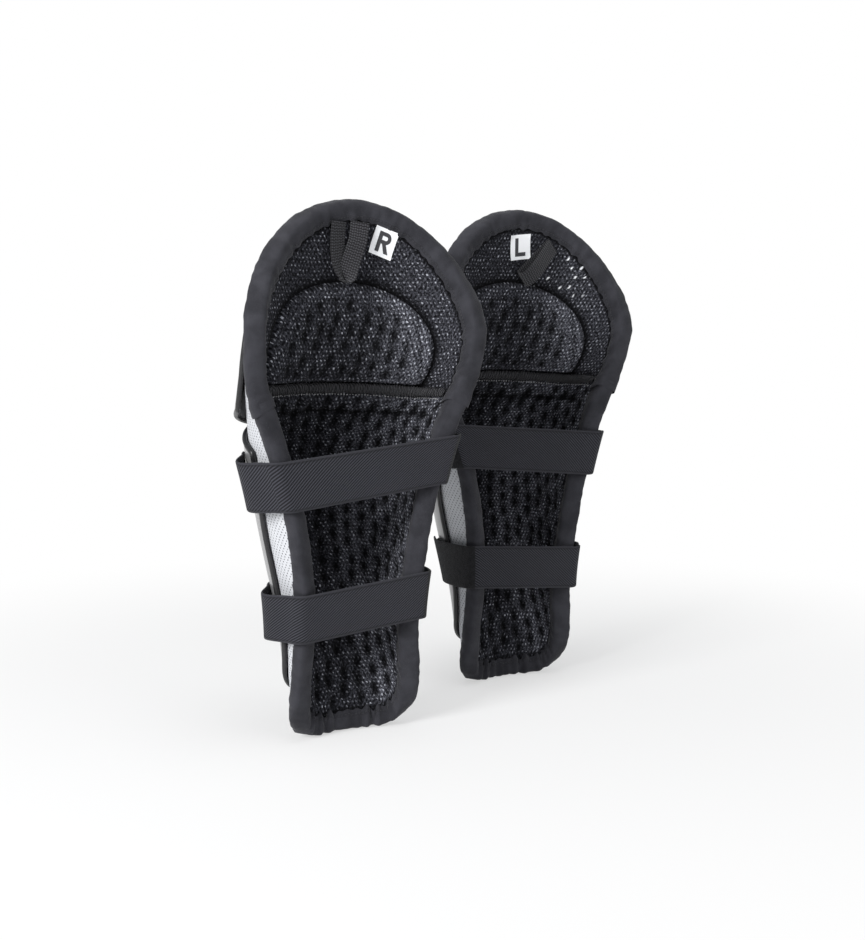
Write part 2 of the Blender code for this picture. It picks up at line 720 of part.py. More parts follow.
def standing_loop_faces():
    """Webbing loop with two legs side by side that meet in a bend, which stands on its edge."""
    turn = np.pi * np.linspace(0.0, 1.0, LOOP_STATIONS)
    hang = np.sin(turn)
    spread = STANDING_LOOP_SPREAD / 2 * np.cos(turn) * (1 - STANDING_LOOP_PINCH * hang**2)
    across = STANDING_LOOP_SIDE - spread - STANDING_LOOP_SWAY * hang
    height = GUARD_HEIGHT - STANDING_LOOP_ROOT_DROP - STANDING_LOOP_LENGTH * hang
    lean = np.radians(STANDING_LOOP_ROOT_LEAN + (90.0 - STANDING_LOOP_ROOT_LEAN) * hang**2)
    half = LOOP_WEBBING_WIDTH / 2
    lift = LINER_INNER_LIFT - LOOP_WEBBING_THICKNESS - SEAT_GAP - half * np.sin(lean)
    centre = on_form(across, height, lift)
    to_leg = unit_rows(centre - on_form(across, height, lift + STEP))
    along = np.gradient(centre, axis=0)
    along = unit_rows(along - to_leg * np.sum(along * to_leg, axis=1, keepdims=True))
    beside = np.cross(along, to_leg)
    width = beside * np.cos(lean)[:, None] + to_leg * np.sin(lean)[:, None]
    thick = np.cross(width, along) * LOOP_WEBBING_THICKNESS / 2
    rows = np.stack([centre - width * half, centre, centre + width * half])
    return rows - thick, rows + thick


def folded_loop_faces():
    """Webbing loop that lies over to the side: one leg on the lining, the other arched back over it."""
    share = np.linspace(0.0, 1.0, LOOP_STATIONS)
    slant = math.radians(FOLDED_LOOP_SLANT)
    hang = FOLDED_LOOP_LENGTH * np.sin(np.pi * share)
    over = np.clip((share - FOLDED_LOOP_FLAT_SHARE) / (1 - FOLDED_LOOP_FLAT_SHARE), 0.0, 1.0)
    arch = FOLDED_LOOP_BULGE * np.sin(np.pi * over) + FOLDED_LOOP_ROOT_GAP * smooth_step(over)
    seat = LINER_INNER_LIFT - LABEL_THICKNESS - 2 * SEAT_GAP - LOOP_WEBBING_THICKNESS / 2
    across = LOOP_WEBBING_WIDTH * np.linspace(-0.5, 0.5, 3)[:, None]
    girth = FOLDED_LOOP_SIDE + hang * math.sin(slant) + across * math.cos(slant)
    height = GUARD_HEIGHT - FOLDED_LOOP_ROOT_DROP - hang * math.cos(slant) + across * math.sin(slant)
    rows = on_form(girth, height, seat - arch)
    along = np.gradient(rows[1], axis=0)
    thick = unit_rows(np.cross(rows[2] - rows[0], along)) * LOOP_WEBBING_THICKNESS / 2
    return rows - thick, rows + thick


def loop_faces(side):
    """The two faces of a guard's pull loop, drawn for the right hand."""
    return standing_loop_faces() if side > 0 else folded_loop_faces()


def add_pull_loop(guard):
    """Pull loop of webbing that turns about its sewn root."""
    near, far = (guard.handed(face) for face in loop_faces(guard.side))
    guard.place("pull_loop", slab_mesh(near, far), "pull_loop", CHARCOAL, 0.8)


def add_label(guard, knee):
    """Square side label sewn under the crown."""
    side, drop, degrees = RIGHT_LABEL_PLACE if guard.side > 0 else LEFT_LABEL_PLACE
    turn = math.radians(degrees)
    steps = np.linspace(-LABEL_SIZE / 2, LABEL_SIZE / 2, LABEL_GRID + 1)
    right, up = np.meshgrid(steps, steps)
    girth = side + right * math.cos(turn) - up * math.sin(turn)
    height = GUARD_HEIGHT - drop + right * math.sin(turn) + up * math.cos(turn)
    facets = Facets(knee)
    outer_lift = LINER_INNER_LIFT - SEAT_GAP
    outer = guard.handed(facets.at(girth, height, outer_lift))
    inner = guard.handed(facets.at(girth, height, outer_lift - LABEL_THICKNESS))
    guard.place("side_label", slab_mesh(inner, outer), "knee", WHITE, 0.6)


def strap_side(height, reach, stand):
    """One face of a strap at one height on the inner side of the right leg.

    Gives the bulging run from its end on the shell to the rim, the same run held flat, and the
    bend round the rim. Stand is the face's distance from the strap's leg-side face.
    """
    rim = float(rim_girth(height)[0])
    start = rim - STRAP_BEND_START
    share = np.linspace(0.0, 1.0, STRAP_STATIONS)
    girth = -(rim - reach + share * (start - rim + reach))
    level = np.full_like(girth, height)
    seat = SHELL_FACE_LIFT + STRAP_SEAT_GAP
    free = np.clip((share - STRAP_SEWN_SHARE) / (1 - STRAP_SEWN_SHARE), 0.0, 1.0)
    lift = seat + (STRAP_RIM_LIFT - seat) * smooth_step(free) + STRAP_BULGE * np.sin(np.pi * free) ** 2
    bulging = on_form(girth, level, lift + stand)
    held = on_form(girth, level, STRAP_RIM_LIFT + stand)
    before, after = on_form((-start + STEP, -start - STEP), height, STRAP_RIM_LIFT)
    place, raised = on_form(-start, height, (STRAP_RIM_LIFT, STRAP_RIM_LIFT + STEP))
    back = flat_unit(after - before)
    out = flat_unit(raised - place)
    centre = place - out * STRAP_BEND_RADIUS
    rear = np.array((0.0, -1.0, 0.0))
    last = math.atan2(rear @ back, rear @ out)
    turns = np.linspace(0.0, last, STRAP_BEND_STATIONS)[1:, None]
    bend = centre + (STRAP_BEND_RADIUS + stand) * (np.cos(turns) * out + np.sin(turns) * back)
    return bulging, held, bend


def strap_rows(inner_height, outer_height, reach, stand):
    """One face of the right guard's strap, in three rows: anchor, swinging band, peeling tab."""
    anchor, band, tab = [], [], []
    flip = np.array((-1.0, 1.0, 1.0))
    across = np.linspace(0.0, 1.0, STRAP_SPAN_STATIONS)[:, None]
    gap = np.array((STRAP_JOINT_GAP, 0.0, 0.0))
    for offset in (-STRAP_WIDTH / 2, 0.0, STRAP_WIDTH / 2):
        bulging, _, inner_bend = strap_side(inner_height + offset, reach, stand)
        _, held, outer_bend = strap_side(outer_height + offset, reach, stand)
        outer_bend = outer_bend * flip
        held = held * flip
        anchor.append(np.concatenate([bulging, inner_bend]))
        span_start = inner_bend[-1] + gap
        span = span_start + across * (outer_bend[-1] - span_start)
        last = held[-1] + unit(outer_bend[0] - held[-1]) * STRAP_JOINT_GAP
        band.append(np.concatenate([span, outer_bend[-2::-1], last[None, :]]))
        tab.append(held[::-1])
    return np.array(anchor), np.array(band), np.array(tab)


def add_strap(guard, strap, inner_height, outer_height, reach):
    """An elastic strap: sewn on the shell at the inner side, hooked on the shell at the outer side."""
    near = strap_rows(inner_height, outer_height, reach, 0.0)
    far = strap_rows(inner_height, outer_height, reach, STRAP_THICKNESS)
    pieces = (("anchor", "base"), ("band", f"{strap}_strap"), ("tab", f"{strap}_tab"))
    for (piece, marker), inner, outer in zip(pieces, near, far):
        mesh = slab_mesh(guard.handed(inner), guard.handed(outer))
        guard.place(f"{strap}_strap_{piece}", mesh, marker, CHARCOAL, 0.9)
    rim = float(rim_girth(outer_height)[0])
    far_end = rim - reach + (STRAP_WIDTH - HOOK_PATCH_WIDTH) / 2
    girth, height = np.meshgrid(
        np.linspace(far_end, far_end + HOOK_PATCH_LENGTH, PATCH_COLUMNS + 1),
        outer_height + np.linspace(-HOOK_PATCH_WIDTH / 2, HOOK_PATCH_WIDTH / 2, PATCH_ROWS + 1))
    inner = guard.handed(on_form(girth, height, HOOK_PATCH_LIFT))
    outer = guard.handed(on_form(girth, height, HOOK_PATCH_LIFT + HOOK_PATCH_THICKNESS))
    guard.place(f"{strap}_hook_patch", slab_mesh(inner, outer), "base", GLOSS_BLACK, 0.9)


def strap_axes(inner_height, outer_height, reach):
    """Middles of the right guard's fold lines: where the band swings and where the tab peels."""
    _, band, tab = strap_rows(inner_height, outer_height, reach, STRAP_THICKNESS + SEAT_GAP)
    return band[1, 0] - np.array((STRAP_JOINT_GAP / 2, 0.0, 0.0)), tab[1, 0]


def build_guard(name, side, collection):
    """One whole guard in its own frame. Side is 1 for the right leg and -1 for the left."""
    guard = Guard(name, side, collection)
    hand = np.array((side, 1.0, 1.0))
    seam_end = seam_height(1.0)
    rim_back = back_lean(seam_end) + BINDING_GAP + 2 * BINDING_THICKNESS
    guard.add_marker("knee", (0.0, -rim_back, seam_end), "base")
    near, far = loop_faces(side)
    root = (near[1, 0] + far[1, 0] + near[1, -1] + far[1, -1]) / 4
    guard.add_marker("pull_loop", root * hand, "knee")
    for strap, inner_height, outer_height, reach in STRAPS:
        swing, peel = strap_axes(inner_height, outer_height, reach)
        guard.add_marker(f"{strap}_strap", swing * hand, "base")
        guard.add_marker(f"{strap}_tab", peel * hand, f"{strap}_strap")

    shin = shin_pattern()
    add_layers(guard, "shin", shin, "base")
    path = np.concatenate([shin[:0:-1, 0], shin[0], shin[1:, -1]])
    seam_runs = unit(shin[-1, 1] - shin[-1, 0]), unit(shin[-1, -2] - shin[-1, -1])
    add_binding(guard, "shin", shin, path, seam_runs, "base")
    shin_shell = shin_shell_pattern()
    add_shell(guard, "shin_shell", shin_shell, shin_shell_lift(shin_shell), "base")
    add_welt(guard, shin)

    knee = knee_pattern()
    add_layers(guard, "knee", knee, "knee")
    path = np.concatenate([knee[:-1, -1], knee[-1, ::-1], knee[-2::-1, 0]])
    seam_runs = unit(knee[0, -2] - knee[0, -1]), unit(knee[0, 1] - knee[0, 0])
    add_binding(guard, "knee", knee, path, seam_runs, "knee")
    cap = knee_cap_pattern()
    add_shell(guard, "knee_cap", cap, knee_cap_lift(cap), "knee")
    add_knee_pad(guard, knee)
    add_label(guard, knee)
    add_pull_loop(guard)

    for strap, inner_height, outer_height, reach in STRAPS:
        add_strap(guard, strap, inner_height, outer_height, reach)
    return guard


def stand_on_origin(guards, collection):
    """Step the guards apart and put the middle of the pair's footprint over the origin."""
    for guard in guards:
        step = Vector((PAIR_SIDE_STEP, PAIR_FRONT_STEP, 0.0))
        guard.markers["base"].location = -step / 2 * guard.side
    bpy.context.view_layer.update()
    corners = []
    for part in collection.objects:
        if part.type == "MESH":
            corners += [part.matrix_world @ Vector(corner) for corner in part.bound_box]
    middle = [(max(c[i] for c in corners) + min(c[i] for c in corners)) / 2 for i in (0, 1)]
    for guard in guards:
        guard.markers["base"].location -= Vector((*middle, 0.0))
    bpy.context.view_layer.update()


def main():
    """Clear the scene and build the pair."""
    for item in list(bpy.data.objects):
        bpy.data.objects.remove(item, do_unlink=True)
    collection = bpy.data.collections.new("shin_guards")
    bpy.context.scene.collection.children.link(collection)
    guards = [build_guard("right", 1, collection), build_guard("left", -1, collection)]
    stand_on_origin(guards, collection)


main()
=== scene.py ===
"""Looks of a pair of padded knee-and-shin guards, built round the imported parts.

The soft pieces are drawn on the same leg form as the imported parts: a pattern point has a girth
(distance round the leg from the front centre line) and a height, and a layer has a lift, its
distance outside the face of the cover. Pieces are drawn for the right leg and mirrored for the left.
"""
import json
import math

import bmesh
import bpy
import numpy as np
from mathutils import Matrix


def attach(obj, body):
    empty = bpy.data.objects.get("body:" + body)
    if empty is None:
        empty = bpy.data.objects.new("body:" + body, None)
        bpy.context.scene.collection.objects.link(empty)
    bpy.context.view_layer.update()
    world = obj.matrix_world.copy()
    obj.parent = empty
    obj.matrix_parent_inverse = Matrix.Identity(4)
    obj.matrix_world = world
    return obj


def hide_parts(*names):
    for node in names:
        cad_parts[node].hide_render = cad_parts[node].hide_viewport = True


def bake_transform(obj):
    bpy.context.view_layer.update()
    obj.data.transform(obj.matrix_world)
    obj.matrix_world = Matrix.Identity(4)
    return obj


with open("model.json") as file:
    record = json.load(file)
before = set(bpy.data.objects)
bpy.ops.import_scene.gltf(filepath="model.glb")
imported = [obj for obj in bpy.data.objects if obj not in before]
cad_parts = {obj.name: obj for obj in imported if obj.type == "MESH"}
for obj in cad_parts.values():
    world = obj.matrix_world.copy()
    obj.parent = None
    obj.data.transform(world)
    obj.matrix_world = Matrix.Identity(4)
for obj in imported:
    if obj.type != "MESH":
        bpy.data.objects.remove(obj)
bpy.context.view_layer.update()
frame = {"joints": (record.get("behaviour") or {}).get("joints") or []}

# Leg form: height, half width between the rims, depth from rims to front, wrap angle in degrees,
# setback of the rims; the hem itself stands upright
LEG_STATIONS = np.array((
    (0.000, 0.0525, 0.0290, 88.0, 0.0000),
    (0.016, 0.0524, 0.0292, 89.5, 0.0001),
    (0.045, 0.0510, 0.0405, 101.0, 0.0030),
    (0.090, 0.0477, 0.0655, 113.0, 0.0078),
    (0.140, 0.0517, 0.0875, 118.5, 0.0125),
    (0.190, 0.0618, 0.0940, 115.5, 0.0142),
    (0.235, 0.0775, 0.0885, 102.0, 0.0148),
    (0.270, 0.0925, 0.0710, 86.0, 0.0195),
    (0.305, 0.0978, 0.0570, 76.0, 0.0265),
    (0.355, 0.0985, 0.0500, 70.0, 0.0335),
    (0.407, 0.0970, 0.0480, 66.0, 0.0392),
))
SECTION_POWER = 2.2

# Pattern
GUARD_HEIGHT = 0.407
KNEE_WIDEST_HEIGHT = 0.298
KNEE_SHOULDER_SHARE = 0.42
HEM_CORNER_RADIUS = 0.038
HEM_HEIGHT = 0.0025
CROWN_HEIGHT = GUARD_HEIGHT - HEM_HEIGHT
SEAM_HEIGHT = 0.272
SEAM_DROP = 0.014

# Layers, shells and straps
LINER_LIFT = -0.0110
PAD_BACK_LIFT = -0.0015
SHELL_THICKNESS = 0.0028
SHELL_LIFT = 0.0011
SHELL_FACE_LIFT = SHELL_LIFT + SHELL_THICKNESS
SHIN_SHELL_FOOT = 0.036
SHIN_SHELL_HEAD = 0.243
SHIN_SHELL_FOOT_RADIUS = 0.030
SHIN_SHELL_HEAD_DROP = 0.022
SHELL_KEEL_HEIGHT = 0.0030
SHELL_KEEL_WIDTH = 0.018
SHELL_KEEL_FADE = 0.054
SHELL_CORNER_SHARE = 0.18
KNEE_CAP_FOOT = 0.232
KNEE_CAP_FOOT_RISE = 0.024
KNEE_CAP_HEAD = 0.378
KNEE_CAP_SIDE_PANEL = 0.0261
KNEE_CAP_SHOULDER_TURN = 48.0
KNEE_CAP_LIP_LIFT = 0.0056
KNEE_CAP_LIP_TOP = 0.282
KNEE_CAP_LIP_FLAT = 0.008
SIDE_PANEL = np.array((
    (0.036, 0.017),
    (0.075, 0.0235),
    (0.120, 0.0345),
    (0.160, 0.0405),
    (0.200, 0.0340),
    (0.250, 0.023),
))
KNEE_PAD_HALF_WIDTH = 0.084
KNEE_PAD_CENTRE_HEIGHT = 0.286
KNEE_PAD_RISE = 0.060
KNEE_PAD_LOW_TURN = -14.0
KNEE_PAD_SHOULDER_TURN = 44.0
KNEE_PAD_THICKNESS = 0.0058
WELT_RADIUS = 0.0025
LABEL_SIZE = 0.0205
LABEL_THICKNESS = 0.0006
LABEL_PLACES = {"right": (0.0260, 0.3765, -18.0), "left": (-0.0010, 0.3770, -5.0)}
LOOP_WEBBING_WIDTH = 0.014
LOOP_WEBBING_THICKNESS = 0.0014
STANDING_LOOP_ROOT = 0.3915
STANDING_LOOP_LENGTH = 0.041
STANDING_LOOP_SPREAD = 0.019
STANDING_LOOP_SIDE = -0.0060
STANDING_LOOP_PINCH = 0.6
STANDING_LOOP_SWAY = 0.005
STANDING_LOOP_ROOT_LEAN = 14.0
FOLDED_LOOP_ROOT = 0.3785
FOLDED_LOOP_LENGTH = 0.040
FOLDED_LOOP_SIDE = -0.0330
FOLDED_LOOP_SLANT = 48.0
FOLDED_LOOP_BULGE = 0.0095
FOLDED_LOOP_ROOT_GAP = 0.0024
FOLDED_LOOP_FLAT_SHARE = 0.4
STRAPS = (
    ("upper", 0.200, 0.213, 0.064),
    ("lower", 0.0985, 0.1075, 0.062),
)
STRAP_WIDTH = 0.038
STRAP_THICKNESS = 0.0018
STRAP_SEAT_GAP = 0.0009
STRAP_BEND_RADIUS = 0.0082
STRAP_BEND_START = 0.004
STRAP_BULGE = 0.0090
STRAP_SEWN_SHARE = 0.2
HOOK_PATCH_LENGTH = 0.018
HOOK_PATCH_WIDTH = 0.032
HOOK_PATCH_THICKNESS = 0.0010
HOOK_PATCH_LIFT = SHELL_FACE_LIFT + STRAP_SEAT_GAP
STRAP_RIM_LIFT = HOOK_PATCH_LIFT + HOOK_PATCH_THICKNESS + STRAP_SEAT_GAP
KNEE_AXIS_BACK = 0.0037

# Pressed dimples of the foam, staggered
DIMPLE_PITCH = 0.0142
DIMPLE_ROW = 0.0138
DIMPLE_STRAY = 0.0017
DIMPLE_STRAY_TURNS = (12.9, 78.2)
DIMPLE_HALF_WIDTH = 0.0025
DIMPLE_HALF_HEIGHT = 0.0042
DIMPLE_DEPTH = 0.0019
PUFF_CAP = 0.0028
PAD_PUFF_CAP = 0.0018
PUFF_PRESSURE = 5.0
SIMULATION_SCALE = 10.0
SIMULATION_FRAMES = 18

# Painted light on one wall of the mesh and on the pad, and the slope of the sewn seam and the pad
PAINTED_LIGHT_START = 0.02
PAINTED_LIGHT_RANGE = 0.40
PAD_PAINTED_LIGHT = 0.07
KNEE_PAINTED_LIGHT_SHARE = 0.28
SEAM_LOOK_LIFT = 0.0015
SEAM_LOOK_TILT = 0.0042
PAD_LOOK_TILT = 0.0040

# Where the fabric bends between shin and knee; no piece is bent there
BEND_LOW = 0.246
BEND_HIGH = 0.280

# Camera at the photograph's place, measured from the right guard's foot
CAMERA_FROM_RIGHT_FOOT = np.array((-0.525, -1.0248, 0.344))
CAMERA_PITCH = 83.13
CAMERA_YAW = -30.0
CAMERA_LENS = 59.0

# Sampling of the form
SHARES = np.linspace(0.0, 1.0, 81)
LAST_SHARE = 1.4
STEP = 0.001
LATTICE = 0.001
PATH_STEP = 0.0008
TINY = 1e-12
LATTICE_GIRTHS = np.arange(-0.200, 0.2005, LATTICE)
LATTICE_HEIGHTS = np.arange(-0.010, GUARD_HEIGHT + 0.0105, LATTICE)
scene = bpy.context.scene


def unit_rows(vectors):
    """Each vector at length one."""
    return vectors / np.maximum(np.linalg.norm(vectors, axis=-1, keepdims=True), TINY)


def smooth_step(value):
    """Ease from 0 to 1."""
    value = np.clip(value, 0.0, 1.0)
    return value * value * (3.0 - 2.0 * value)


def bell(value, half_width):
    """1 at the middle, fading to both sides."""
    return np.exp(-((value / half_width) ** 2))


def run_along(path):
    """Running length along a path."""
    return np.concatenate([[0.0], np.cumsum(np.linalg.norm(np.diff(path, axis=0), axis=1))])


def uv_grid(along, around):
    """Texture places of a grid."""
    return np.stack(np.meshgrid(along, around, indexing="ij"), -1)


def smooth_curve(knots, values, at):
    """A smooth curve through the given points, read at some places."""
    steps = np.diff(knots)
    slopes = np.diff(values) / steps
    tangents = np.empty_like(values)
    tangents[0] = slopes[0]
    tangents[-1] = slopes[-1]
    tangents[1:-1] = (slopes[:-1] * steps[1:] + slopes[1:] * steps[:-1]) / (steps[:-1] + steps[1:])
    at = np.clip(at, knots[0], knots[-1])
    i = np.clip(np.searchsorted(knots, at) - 1, 0, len(knots) - 2)
    t = (at - knots[i]) / steps[i]
    start = (2 * t**3 - 3 * t**2 + 1) * values[i] + (t**3 - 2 * t**2 + t) * steps[i] * tangents[i]
    end = (3 * t**2 - 2 * t**3) * values[i + 1] + (t**3 - t**2) * steps[i] * tangents[i + 1]
    return start + end


def station(height, column):
    """One column of the leg stations at a height."""
    return smooth_curve(LEG_STATIONS[:, 0], LEG_STATIONS[:, column], height)


def back_lean(height):
    """How far the rims stand back at a height."""
    return station(height, 4)


def section(share, height):
    """Plan point of the cover's face: share runs from 0 at the front to 1 at the rim."""
    half_width = station(height, 1)
    depth = station(height, 2)
    wrap_angle = np.radians(station(height, 3))
    power = 2.0 / SECTION_POWER
    angle = wrap_angle * share
    across = np.abs(np.sin(angle)) ** power / np.sin(wrap_angle) ** power
    along = np.sign(np.cos(angle)) * np.abs(np.cos(angle)) ** power
    rim_along = np.sign(np.cos(wrap_angle)) * np.abs(np.cos(wrap_angle)) ** power
    x = half_width * np.sign(share) * across
    y = depth * (along - rim_along) / (1.0 - rim_along) - back_lean(height)
    return np.stack(np.broadcast_arrays(x, y), -1)


def girth_table(height):
    """Girth at each section sample, for an array of heights."""
    points = section(SHARES[None, :], height[:, None])
    lengths = np.linalg.norm(np.diff(points, axis=1), axis=2)
    return np.concatenate([np.zeros((len(height), 1)), np.cumsum(lengths, 1)], 1)


def form_lattice():
    """Points of the cover's face and outward directions on an even lattice of girths and heights."""
    level = np.clip(LATTICE_HEIGHTS, 0.0, GUARD_HEIGHT)
    table = girth_table(level)
    reach = np.abs(LATTICE_GIRTHS)
    places = []
    for k, row in enumerate(table):
        past_rim = (reach - row[-1]) / (row[-1] - row[-2]) * (SHARES[-1] - SHARES[-2])
        share = np.interp(reach, row, SHARES) + np.maximum(past_rim, 0.0)
        plan = section(np.sign(LATTICE_GIRTHS) * np.minimum(share, LAST_SHARE), level[k])
        places.append(np.column_stack([plan, np.full(len(plan), LATTICE_HEIGHTS[k])]))
    places = np.array(places)
    outward = np.cross(np.gradient(places, axis=0), np.gradient(places, axis=1))
    return places, unit_rows(outward), table[:, -1]


PLACES, OUTWARD, RIM_GIRTHS = form_lattice()


def read_lattice(table, girth, height):
    """Values of a lattice table between its points."""
    row = (height - LATTICE_HEIGHTS[0]) / LATTICE
    column = (girth - LATTICE_GIRTHS[0]) / LATTICE
    i = np.clip(np.floor(row).astype(int), 0, len(LATTICE_HEIGHTS) - 2)
    j = np.clip(np.floor(column).astype(int), 0, len(LATTICE_GIRTHS) - 2)
    v = (row - i)[..., None]
    u = (column - j)[..., None]
    low = table[i, j] * (1 - u) + table[i, j + 1] * u
    high = table[i + 1, j] * (1 - u) + table[i + 1, j + 1] * u
    return low * (1 - v) + high * v


def on_form(girth, height, lift):
    """Points at a lift outside the cover's face."""
    girth, height, lift = np.broadcast_arrays(*(np.asarray(v, float) for v in (girth, height, lift)))
    outward = unit_rows(read_lattice(OUTWARD, girth, height))
    return read_lattice(PLACES, girth, height) + outward * lift[..., None]


def rim_girth(height):
    """Half girth from the front centre line to the rim."""
    return np.interp(height, LATTICE_HEIGHTS, RIM_GIRTHS)


def seam_height(girth_share):
    """The flex seam is arched: highest at the front, lowest at the rims."""
    return SEAM_HEIGHT - SEAM_DROP * girth_share**2


def coons_patch(bottom, right, top, columns, rows):
    """Pattern grid between edges that are alike on both sides of the front centre line."""
    across = np.linspace(0.0, 1.0, columns + 1)
    up = np.linspace(0.0, 1.0, rows + 1)
    low = np.array([bottom(t) for t in across])[None, :, :]
    high = np.array([top(t) for t in across])[None, :, :]
    east = np.array([right(t) for t in up])[:, None, :]
    west = east * np.array((-1.0, 1.0))
    u = across[None, :, None]
    v = up[:, None, None]
    sides = (1 - v) * low + v * high + (1 - u) * west + u * east
    corners = (1 - u) * (1 - v) * low[:, :1] + u * (1 - v) * low[:, -1:]
    corners = corners + (1 - u) * v * high[:, :1] + u * v * high[:, -1:]
    return sides - corners


def arched_patch(arch, low_turn, shoulder_turn, bottom, columns, rows):
    """Pattern grid under an arch, whose sides end and whose top starts at the shoulders' angle."""
    low = math.radians(low_turn)
    shoulder = math.radians(shoulder_turn)

    def right(t):
        return arch(low + t * (shoulder - low))

    def top(t):
        return arch(math.pi - shoulder - t * (math.pi - 2 * shoulder))

    return coons_patch(bottom, right, top, columns, rows)


def shin_outline(distance):
    """Pattern point at a distance along the hem and up the side, from the hem's middle."""
    flat = float(rim_girth(HEM_HEIGHT)) - HEM_CORNER_RADIUS
    corner = HEM_CORNER_RADIUS * math.pi / 2
    if distance <= flat:
        return distance, HEM_HEIGHT
    if distance <= flat + corner:
        turn = (distance - flat) / HEM_CORNER_RADIUS
        height = HEM_HEIGHT + HEM_CORNER_RADIUS * (1 - math.cos(turn))
        return float(rim_girth(height)) - HEM_CORNER_RADIUS * (1 - math.sin(turn)), height
    height = HEM_HEIGHT + HEM_CORNER_RADIUS + distance - flat - corner
    return float(rim_girth(height)), height


def shin_outline_end():
    """Distance along the shin's outline at which it meets the flex seam."""
    flat = float(rim_girth(HEM_HEIGHT)) - HEM_CORNER_RADIUS
    return flat + HEM_CORNER_RADIUS * (math.pi / 2 - 1) + seam_height(1.0) - HEM_HEIGHT


def knee_outline(share):
    """Pattern point of the knee lobe: 0 at the crown, 1 at the end of the flex seam."""
    crown_rise = CROWN_HEIGHT - KNEE_WIDEST_HEIGHT
    quarter = math.pi / 4 * (crown_rise + float(rim_girth(KNEE_WIDEST_HEIGHT)))
    distance = share * (quarter + KNEE_WIDEST_HEIGHT - seam_height(1.0))
    if distance < quarter:
        angle = math.pi / 2 * (1 - distance / quarter)
        height = KNEE_WIDEST_HEIGHT + crown_rise * math.sin(angle)
        across = section(SHARES, height)[:, 0]
        girths = girth_table(np.array([height]))[0]
        return float(np.interp(math.cos(angle) * across[-1], across, girths)), height
    height = KNEE_WIDEST_HEIGHT - (distance - quarter)
    return float(rim_girth(height)), height


def seam_edge(t):
    """Pattern point of the flex seam, from rim to rim."""
    height = seam_height(2 * t - 1)
    return (2 * t - 1) * float(rim_girth(height)), height


def body_pattern(columns, shin_rows, knee_rows):
    """One grid over the shin panel and the knee lobe, which share the flex seam."""
    flat = float(rim_girth(HEM_HEIGHT)) - HEM_CORNER_RADIUS
    corner = flat + HEM_CORNER_RADIUS * math.pi / 4
    end = shin_outline_end()

    def hem(t):
        girth, height = shin_outline(abs(2 * t - 1) * corner)
        return math.copysign(girth, 2 * t - 1), height

    def crown(t):
        girth, height = knee_outline(abs(2 * t - 1) * KNEE_SHOULDER_SHARE)
        return math.copysign(girth, 2 * t - 1), height

    def shin_side(t):
        return shin_outline(corner + t * (end - corner))

    def knee_side(t):
        return knee_outline(1 - t * (1 - KNEE_SHOULDER_SHARE))

    shin = coons_patch(hem, shin_side, seam_edge, columns, shin_rows)
    knee = coons_patch(seam_edge, knee_side, crown, columns, knee_rows)
    return np.concatenate([shin, knee[1:]])


def shin_shell_half_girth(height):
    """The shin shell leaves the side panel bare between its edge and the rim."""
    bare = smooth_curve(SIDE_PANEL[:, 0], SIDE_PANEL[:, 1], np.atleast_1d(height))
    return float((rim_girth(height) - bare)[0])


def shin_shell_pattern(columns, rows):
    """Grid over the shin shell: rounded foot, arched head under the knee cap's lip."""
    corner_turn = math.pi / 4
    foot_top = SHIN_SHELL_FOOT + SHIN_SHELL_FOOT_RADIUS
    foot_flat = shin_shell_half_girth(SHIN_SHELL_FOOT) - SHIN_SHELL_FOOT_RADIUS

    def foot_corner(turn):
        height = SHIN_SHELL_FOOT + SHIN_SHELL_FOOT_RADIUS * (1 - math.cos(turn))
        return shin_shell_half_girth(height) - SHIN_SHELL_FOOT_RADIUS * (1 - math.sin(turn)), height

    def bottom(t):
        reach = abs(2 * t - 1) * (foot_flat + SHIN_SHELL_FOOT_RADIUS * corner_turn)
        girth, height = reach, SHIN_SHELL_FOOT
        if reach > foot_flat:
            girth, height = foot_corner((reach - foot_flat) / SHIN_SHELL_FOOT_RADIUS)
        return math.copysign(girth, 2 * t - 1), height

    def right(t):
        if t < SHELL_CORNER_SHARE:
            return foot_corner(corner_turn * (1 + t / SHELL_CORNER_SHARE))
        head_side = SHIN_SHELL_HEAD - SHIN_SHELL_HEAD_DROP
        height = foot_top + (t - SHELL_CORNER_SHARE) / (1 - SHELL_CORNER_SHARE) * (head_side - foot_top)
        return shin_shell_half_girth(height), height

    def top(t):
        height = SHIN_SHELL_HEAD - SHIN_SHELL_HEAD_DROP * (2 * t - 1) ** 2
        return (2 * t - 1) * shin_shell_half_girth(height), height

    return coons_patch(bottom, right, top, columns, rows)


def knee_cap_pattern(columns, rows):
    """Grid over the knee cap: an oval whose foot is a shallow lip over the shin shell."""
    side_height = KNEE_CAP_FOOT + KNEE_CAP_FOOT_RISE
    half_width = float(rim_girth(side_height)) - KNEE_CAP_SIDE_PANEL
    rise = KNEE_CAP_HEAD - side_height

    def bottom(t):
        return (2 * t - 1) * half_width, KNEE_CAP_FOOT + KNEE_CAP_FOOT_RISE * (2 * t - 1) ** 2

    def arch(angle):
        return half_width * math.cos(angle), side_height + rise * math.sin(angle)

    return arched_patch(arch, 0.0, KNEE_CAP_SHOULDER_TURN, bottom, columns, rows)


def knee_pad_pattern(columns, rows):
    """Grid over the D-shaped knee pad above the flex seam, whose welt its foot overlaps."""

    def arch(angle):
        girth = KNEE_PAD_HALF_WIDTH * math.cos(angle)
        return girth, KNEE_PAD_CENTRE_HEIGHT + KNEE_PAD_RISE * math.sin(angle)

    def bottom(t):
        reach, low = arch(math.radians(KNEE_PAD_LOW_TURN))
        centre = SEAM_HEIGHT - 0.5 * WELT_RADIUS
        low -= 2.5 * WELT_RADIUS
        return (2 * t - 1) * reach, centre + (low - centre) * (2 * t - 1) ** 2

    return arched_patch(arch, KNEE_PAD_LOW_TURN, KNEE_PAD_SHOULDER_TURN, bottom, columns, rows)


